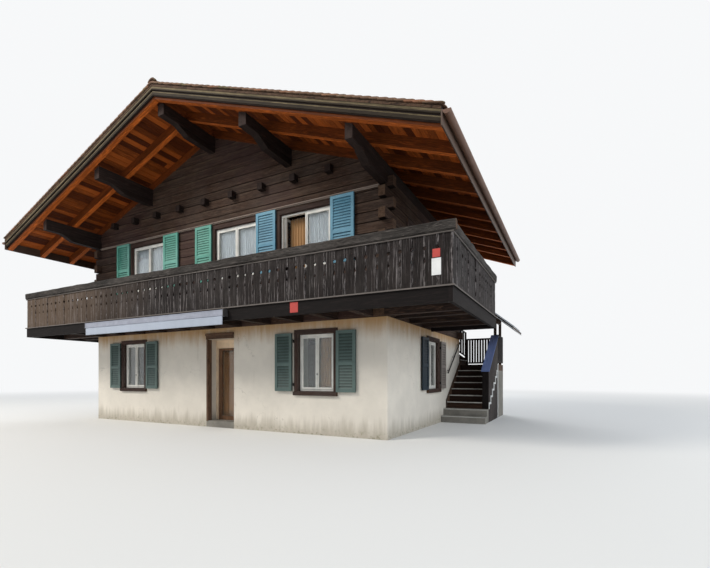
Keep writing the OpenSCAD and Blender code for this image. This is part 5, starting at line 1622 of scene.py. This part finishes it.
def fittings(white):
    """Weather bars, knobs, pintles, the front door's lever and its threshold."""
    bars, knobs, pintles = Boards(72), Boards(73), Boards(74)
    for wall, mid, width, z0, z1, deep, kind in wall_openings():
        out = WALLS[wall][2]
        if kind != "door":
            low = mid + 0.02 if mid == OPEN_WINDOW_X else mid - width / 2 + 0.07
            level(bars, wall, low, mid + width / 2 - 0.07, 0.009 - deep, z0 + 0.062, 0.024,
                  0.020, 0.006)
            upright(bars, wall, mid, 0.006 - deep, z0 + 0.052, z1 - 0.052, out, 0.022, 0.012)
        z = z0 + (z1 - z0) * 0.30
        upright(knobs, wall, mid + 0.012, 0.022 - deep, z - 0.02, z + 0.02, out, 0.018, 0.018,
                0.006)
        shuttered = kind == "lower" or kind == "upper" and wall in ("front", "rear")
        for sign in (-1, 1) if shuttered else ():
            for share in (0.12, 0.88):
                z = z0 + (z1 - z0) * share
                upright(pintles, wall, mid + sign * (width / 2 + 0.104), 0.040, z - 0.035,
                        z + 0.035, out, 0.020, 0.034, 0.007)
    settle(bars.piece("weather_bars", white), "painted_timber")
    settle(knobs.piece("window_knobs", iron()), "steel")
    settle(pintles.piece("shutter_pintles", iron()), "steel")

    lever = Boards(75)
    x, y, z = 0.606, -2.390, 1.20
    grip = y - 0.050
    lever.add((x, y - 0.003, z - 0.11), (x, y - 0.003, z + 0.09), (0.0, -1.0, 0.0), 0.034, 0.006)
    lever.add((x, y - 0.006, z), (x, y - 0.045, z), (0.0, 0.0, 1.0), 0.018, 0.018, edge=0.006)
    lever.add((x + 0.012, grip, z), (x - 0.115, grip, z), (0.0, 0.0, 1.0), 0.016, 0.020,
              edge=0.006)
    settle(lever.piece("door_lever", iron()), "steel", body=LEAF)

    sill = Boards(76)
    y, wide, thick = -2.585, 0.33, 0.015
    z = SLAB_T + thick / 2
    sill.add((FRONT_DOOR_X0 + 0.063, y, z), (FRONT_DOOR_X1, y, z), (0.0, 0.0, 1.0), wide, thick,
             edge=0.005)
    settle(sill.piece("threshold", stone()), "stone")


def curtains(s):
    """Curtains behind the windows where the house shows them, each on its rod."""
    net = finish("net", cloth, tuple(s.cloth.net))
    brown = finish("brown_cloth", cloth, tuple(s.cloth.brown))
    z, high, y = 3.83, 1.235, -2.600
    # Name, cloth, left end, width, hem, height, distance from the middle, folds
    hung = (
        ("net_right", net, 2.915, 0.615, z, high, y, 9),
        ("net_middle_a", net, 0.150, 0.640, z, high, y, 9),
        ("net_middle_b", net, 0.810, 0.640, z, high, y, 9),
        ("net_left_a", net, -3.180, 0.640, z, high, y, 9),
        ("net_left_b", net, -2.520, 0.640, z, high, y, 9),
        ("brown_upper", brown, 2.310, 0.550, z, high, y + 0.100, 7),
        ("brown_lower", brown, 3.205, 0.390, 1.02, 1.205, y + 0.025, 6),
    )
    for k, (name, material, x, width, z0, height, y, folds) in enumerate(hung):
        rod = Boards(80 + k)
        top = z0 + height - 0.006
        rod.add((x - 0.010, y, top), (x + width + 0.010, y, top), (0.0, -1.0, 0.0), 0.012, 0.012)
        for hook in (x - 0.004, x + width + 0.004):
            rod.add((hook, y, top), (hook, y - 0.0345, top), (0.0, 0.0, 1.0), 0.008, 0.008,
                    edge=0.002)
        hang(rod, name, (x, y, z0), width, height, 0.014, folds, material, k)
    rod = Boards(90)
    y, top = -2.333, 1.990
    rod.add((-0.036, y, top), (0.556, y, top), (0.0, -1.0, 0.0), 0.010, 0.010, edge=0.003)
    cloth_finish = finish("door_cloth", cloth, times(s.cloth.brown, 0.85))
    hang(rod, "door_curtain", (-0.034, -2.325, 0.275), 0.588, 1.715, 0.009, 10, cloth_finish, 20,
         body=LEAF)


def hang(rod, name, *curtain, body=BODY):
    """Settles a rod, and hangs a curtain from it that the other values give."""
    rod_piece = settle(rod.piece(name + "_rod", iron()), "steel", body=body)
    piece, flat = gathered(name, *curtain)
    settle(piece, "cloth", body=body)


class CHALET_OT_stair(bpy.types.Operator):
    """Finish the outside stair, its parapet, railings and canopy"""

    bl_idname = "chalet.stair"
    bl_label = "Stair"

    def execute(self, context):
        s = settings().timber
        plank, grey = tuple(s.plank), tuple(s.grey)
        dress("stair_parapet", finish("stair_side", wood, planks("z", "y", 0.16, FLIGHT_Y),
                                      times(plank, 0.7), times(plank, 1.6), grey, weather=0.3,
                                      over=parapet_trim))
        dress("stair_treads", finish("treads", wood, planks("x", "y", 0.27, FOOT_Y, 0.0),
                                     times(s.log, 0.7), times(s.log, 1.7)))
        dress("stair_frame", finish("stair_frame", wood, planks("x", "y", 0.14, LANDING_Y),
                                    times(s.log, 1.1), times(s.log_sun, 1.1), grey))
        dress("stair_railings", finish("slats", wood, planks("z", "x", 0.30, 0.0, 0.0),
                                       times(plank, 0.55), times(plank, 1.3)))
        dress("handrail", iron())
        dress("stair_canopy", finish("canopy_wood", wood, planks("x", "y", 0.12, CANOPY_Y0),
                                     times(s.log_sun, 0.8), times(s.log_sun, 1.7), grey))
        nosings()
        canopy_metal()
        return {"FINISHED"}


def parapet_trim(f, colour, roughness, height):
    """A blue-grey cap, its strong blue partly painted reflection of the sky, and a white stepped
    edge on the dark parapet.
    """
    line = nosing_z(f.y) + SIDE_H
    cap = f.z > line.least(LANDING_Z + SIDE_H) + 0.0005
    streak = f.noise(f.stretched(6.0, 1.0, 1.0), 3.0, 5.0, 0.65)
    # cap colour: light grey-blue paint with painted sky reflection on it
    colour = f.mix(cap * 0.9, colour, f.mix(streak, srgb(74, 92, 138), srgb(118, 136, 184)))
    trim = (f.x > STAIR_X1 + 0.0005) * (1.0 - cap) * (f.z < LANDING_Z + 0.005)
    white = f.mix(streak, srgb(196, 198, 196), srgb(232, 232, 228))
    return f.mix(trim * 0.95, colour, white), roughness, height


def nosings():
    """Pale edge strips on the treads."""
    strips = Boards(95)
    high, thick = 0.026, 0.0035
    out, below = thick / 2 + 0.00005, high / 2 - 0.001
    flight_x0, flight_x1 = STAIR_X0 + 0.045, STAIR_X1 - 0.180
    foot_steps, all_steps = 2, 8
    for k in range(all_steps):
        on_flight = k >= foot_steps
        left, right = (flight_x0, flight_x1) if on_flight else (STAIR_X0, STAIR_X1)
        y = FOOT_Y + k * GOING - (0.025 if on_flight else 0.0) - out
        z = (k + 1) * RISE - below
        strips.add((left + 0.001, y, z), (right - 0.001, y, z), (0.0, -1.0, 0.0), high, thick,
                   edge=0.001)
    upper_steps, upper_going = 6, 0.25
    for k in range(upper_steps - 1):
        x = HALF_W - k * upper_going + 0.025 + out
        z = LANDING_Z + (k + 1) * (FLOOR_Z - LANDING_Z) / upper_steps - below
        strips.add((x, REAR_Y + 0.046, z), (x, LANDING_END_Y - 0.046, z), (1.0, 0.0, 0.0), high,
                   thick, edge=0.001)
    settle(strips.piece("tread_strips", finish("strip_paint", paint, srgb(178, 176, 170),
                                               srgb(90, 84, 78), along="x")), "painted_timber")


def canopy_metal():
    """Standing-seam sheets on the canopy and thin folded edges round them."""
    zinc = finish("zinc", metal, srgb(176, 181, 186), 0.42, 0.5)
    sheets = Boards(96)
    face = (CANOPY_SLOPE, 0.0, 1.0)

    def down(x0, x1, y, above, wide, thick, edge):
        """A strip down the slope, its middle a height above the canopy's surface."""
        sheets.add((x0, y, canopy_z(x0) + above), (x1, y, canopy_z(x1) + above), face, wide,
                   thick, edge=edge)

    low = CANOPY_X1 - 0.004
    count = 5
    wide = (CANOPY_Y1 - CANOPY_Y0) / count
    for k in range(count):
        y = CANOPY_Y0 + (k + 0.5) * wide
        clear_of_corner = y < REAR_Y - 0.35 or y > REAR_Y + 0.25
        top = STAIR_X0 + (0.003 if clear_of_corner else 0.150)
        down(top, low, y, 0.003, wide - 0.002, 0.004, 0.001)
        if k:
            down(top + 0.15, low, y - wide / 2, 0.018, 0.012, 0.026, 0.004)
    top, y = STAIR_X0 + 0.010, CANOPY_Y0 - 0.004
    x, z = CANOPY_X1 + 0.004, canopy_z(CANOPY_X1)
    for drop in (0.012, 0.082):
        sheets.add((top, y, canopy_z(top) - drop), (CANOPY_X1, y, z - drop), (0.0, -1.0, 0.0),
                   0.020, 0.007, edge=0.002)
        sheets.add((x, y - 0.003, z - drop), (x, CANOPY_Y1, z - drop), (1.0, 0.0, 0.0), 0.020,
                   0.007, edge=0.002)
    settle(sheets.piece("canopy_zinc", zinc), "steel")


class CHALET_OT_awning(bpy.types.Operator):
    """Finish the awning's case and hang its valance; add the bare plates"""

    bl_idname = "chalet.awning"
    bl_label = "Awning and plates"

    def execute(self, context):
        s = settings()

        def end_plates(f, colour):
            """Dark plates close the case at both ends."""
            from_middle = abs(f.x - (AWNING_X0 + AWNING_X1) / 2)
            return f.mix(from_middle > (AWNING_X1 - AWNING_X0) / 2 + 0.0002, colour,
                         srgb(58, 56, 56))

        case = finish("case_metal", metal, srgb(152, 156, 170), 0.4, 0.1, over=end_plates)
        dress("awning_box", case)
        lip = Boards(101)
        for z, y, high, thick in ((2.622, AWNING_Y, 0.020, 0.006),
                                  (2.725, AWNING_Y + 0.0005, 0.010, 0.005)):
            lip.add((AWNING_X0, y, z), (AWNING_X1, y, z), (0.0, -1.0, 0.0), high, thick,
                    edge=0.002)
        settle(lip.piece("case_lips", case), "awning_case")
        width, height, top = 4.96, 0.19, 2.61
        piece, flat = gathered("valance", (AWNING_X0 + 0.02, AWNING_Y + 0.009, top - height),
                               width, height, 0.003, 16,
                               finish("valance_cloth", cloth, tuple(s.cloth.valance)), 5)
        settle(piece, "cloth", "awning_valance")
        plates()
        return {"FINISHED"}


def plates():
    """Bare notice plates on the fascia and the parapet."""
    red = finish("red_plate", paint, srgb(178, 62, 54), srgb(120, 60, 54))
    white = finish("white_plate", paint, srgb(222, 222, 220), srgb(150, 150, 146))
    thick = 0.006
    # Each plate's name, colour, middle, width and height
    on_fascia, on_planks = BALCONY_Y - thick / 2, BALCONY_Y + 0.007
    for name, material, x, y, z, wide, high in (
        ("plate_fascia", red, 3.455, on_fascia, 2.665, 0.19, 0.20),
        ("plate_parapet_red", red, 6.310, on_planks, 3.345, 0.13, 0.14),
        ("plate_parapet_white", white, 6.310, on_planks, 3.120, 0.16, 0.28),
    ):
        plate = Boards(110)
        plate.add((x, y, z - high / 2), (x, y, z + high / 2), (0.0, -1.0, 0.0), wide, thick,
                  edge=0.002)
        settle(plate.piece(name, material), "painted_timber")


class CHALET_OT_stage(bpy.types.Operator):
    """Set up the floor, the lamps and the camera"""

    bl_idname = "chalet.stage"
    bl_label = "Stage"

    def execute(self, context):
        s = settings().stage
        lay_floor(s)
        backdrop(context.scene)
        lamp("key", (-11.0, -20.0, 20.0), 9.0, s.key, (1.0, 0.95, 0.87))
        lamp("side", (22.0, -6.0, 10.0), 12.0, s.side, (0.9, 0.95, 1.0))
        lamp("back", (-8.0, 24.0, 16.0), 12.0, s.back, (0.95, 0.97, 1.0))
        aim_camera(context, s)
        context.scene.view_settings.view_transform = "Standard"
        return {"FINISHED"}


def lay_floor(s):
    """A plain floor that is seen to fade into the backdrop far from the house."""
    mesh = bpy.data.meshes.new("floor")
    corners = ((-1, -1), (1, -1), (1, 1), (-1, 1))
    mesh.from_pydata([(u * FLOOR_REACH, v * FLOOR_REACH, 0) for u, v in corners], [],
                     [(0, 1, 2, 3)])
    floor = placed("floor", mesh)
    f = Finish("floor")
    mesh.materials.append(f.surface(
        Base_Color=tuple(s.floor), Roughness=0.9, Specular_IOR_Level=0.1))
    away = f.step((f.x * f.x + f.y * f.y).root(), FADE_START, FADE_END)
    blend = f.node("ShaderNodeMixShader", None, {
        0: away * f.in_sight(),
        1: Value(f, f.shader.outputs[0]),
        2: f.node("ShaderNodeEmission", None, {0: HAZE, 1: 1.0}),
    })
    f.tree.links.new(blend.socket, f.output.inputs[0])


def backdrop(scene):
    """A pale backdrop for the eye, and a softer, cooler sky that lights the house."""
    world = bpy.data.worlds.new("sky")
    scene.world = world
    world.use_nodes = True
    sky = Graph(world.node_tree)
    seen = sky.node("ShaderNodeBackground", None, {0: HAZE, 1: 1.0})
    light = sky.node("ShaderNodeBackground", None, {0: SKY_LIGHT, 1: 0.62})
    blend = sky.node("ShaderNodeMixShader", None, {0: sky.in_sight(), 1: light, 2: seen})
    leave = sky.tree.nodes.new("ShaderNodeOutputWorld")
    sky.tree.links.new(blend.socket, leave.inputs[0])


def aim_camera(context, s):
    """A level camera at the photograph's place; its shift keeps uprights upright."""
    lens = bpy.data.cameras.new("camera")
    lens.lens = s.lens
    lens.sensor_width = 36.0
    lens.shift_y = CAMERA_SHIFT
    camera = bpy.data.objects.new("camera", lens)
    camera.location = CAMERA_PLACE
    camera.rotation_euler = (math.radians(90.0), 0.0, CAMERA_TURN)
    context.collection.objects.link(camera)
    context.scene.camera = camera


def lamp(name, place, size, power, shade):
    """A square lamp aimed at the middle of the house."""
    data = bpy.data.lights.new(name, "AREA")
    data.size, data.energy, data.color = size, power, shade
    obj = bpy.data.objects.new(name, data)
    obj.location = place
    aim = Vector((0.0, 0.0, 3.0)) - Vector(place)
    obj.rotation_euler = aim.to_track_quat("-Z", "Y").to_euler()
    bpy.context.collection.objects.link(obj)


# Panel and main

STEPS = ("masonry", "timber", "roof", "balcony", "openings", "stair", "awning", "stage")


class CHALET_PT_panel(bpy.types.Panel):
    """The chalet's pieces and settings"""

    bl_idname = "CHALET_PT_panel"
    bl_label = "Chalet"
    bl_space_type = "VIEW_3D"
    bl_region_type = "UI"
    bl_category = "Chalet"

    def draw(self, context):
        for group in ("timber", "wall", "paint", "roof", "cloth", "stage"):
            box = self.layout.box()
            part = getattr(context.scene.chalet, group)
            box.label(text=group.capitalize())
            for key in part.__annotations__:
                box.prop(part, key)
        for step in STEPS:
            self.layout.operator("chalet." + step)


CLASSES = (
    TimberSettings, WallSettings, PaintSettings, RoofSettings, ClothSettings, StageSettings,
    ChaletSettings, CHALET_OT_masonry, CHALET_OT_timber, CHALET_OT_roof, CHALET_OT_balcony,
    CHALET_OT_openings, CHALET_OT_stair, CHALET_OT_awning, CHALET_OT_stage, CHALET_PT_panel,
)


def register():
    for cls in CLASSES:
        bpy.utils.register_class(cls)
    bpy.types.Scene.chalet = PointerProperty(type=ChaletSettings)


def unregister():
    del bpy.types.Scene.chalet
    for cls in reversed(CLASSES):
        bpy.utils.unregister_class(cls)


def main():
    register()
    for step in STEPS:
        getattr(bpy.ops.chalet, step)()


if __name__ == "__main__":
    main()
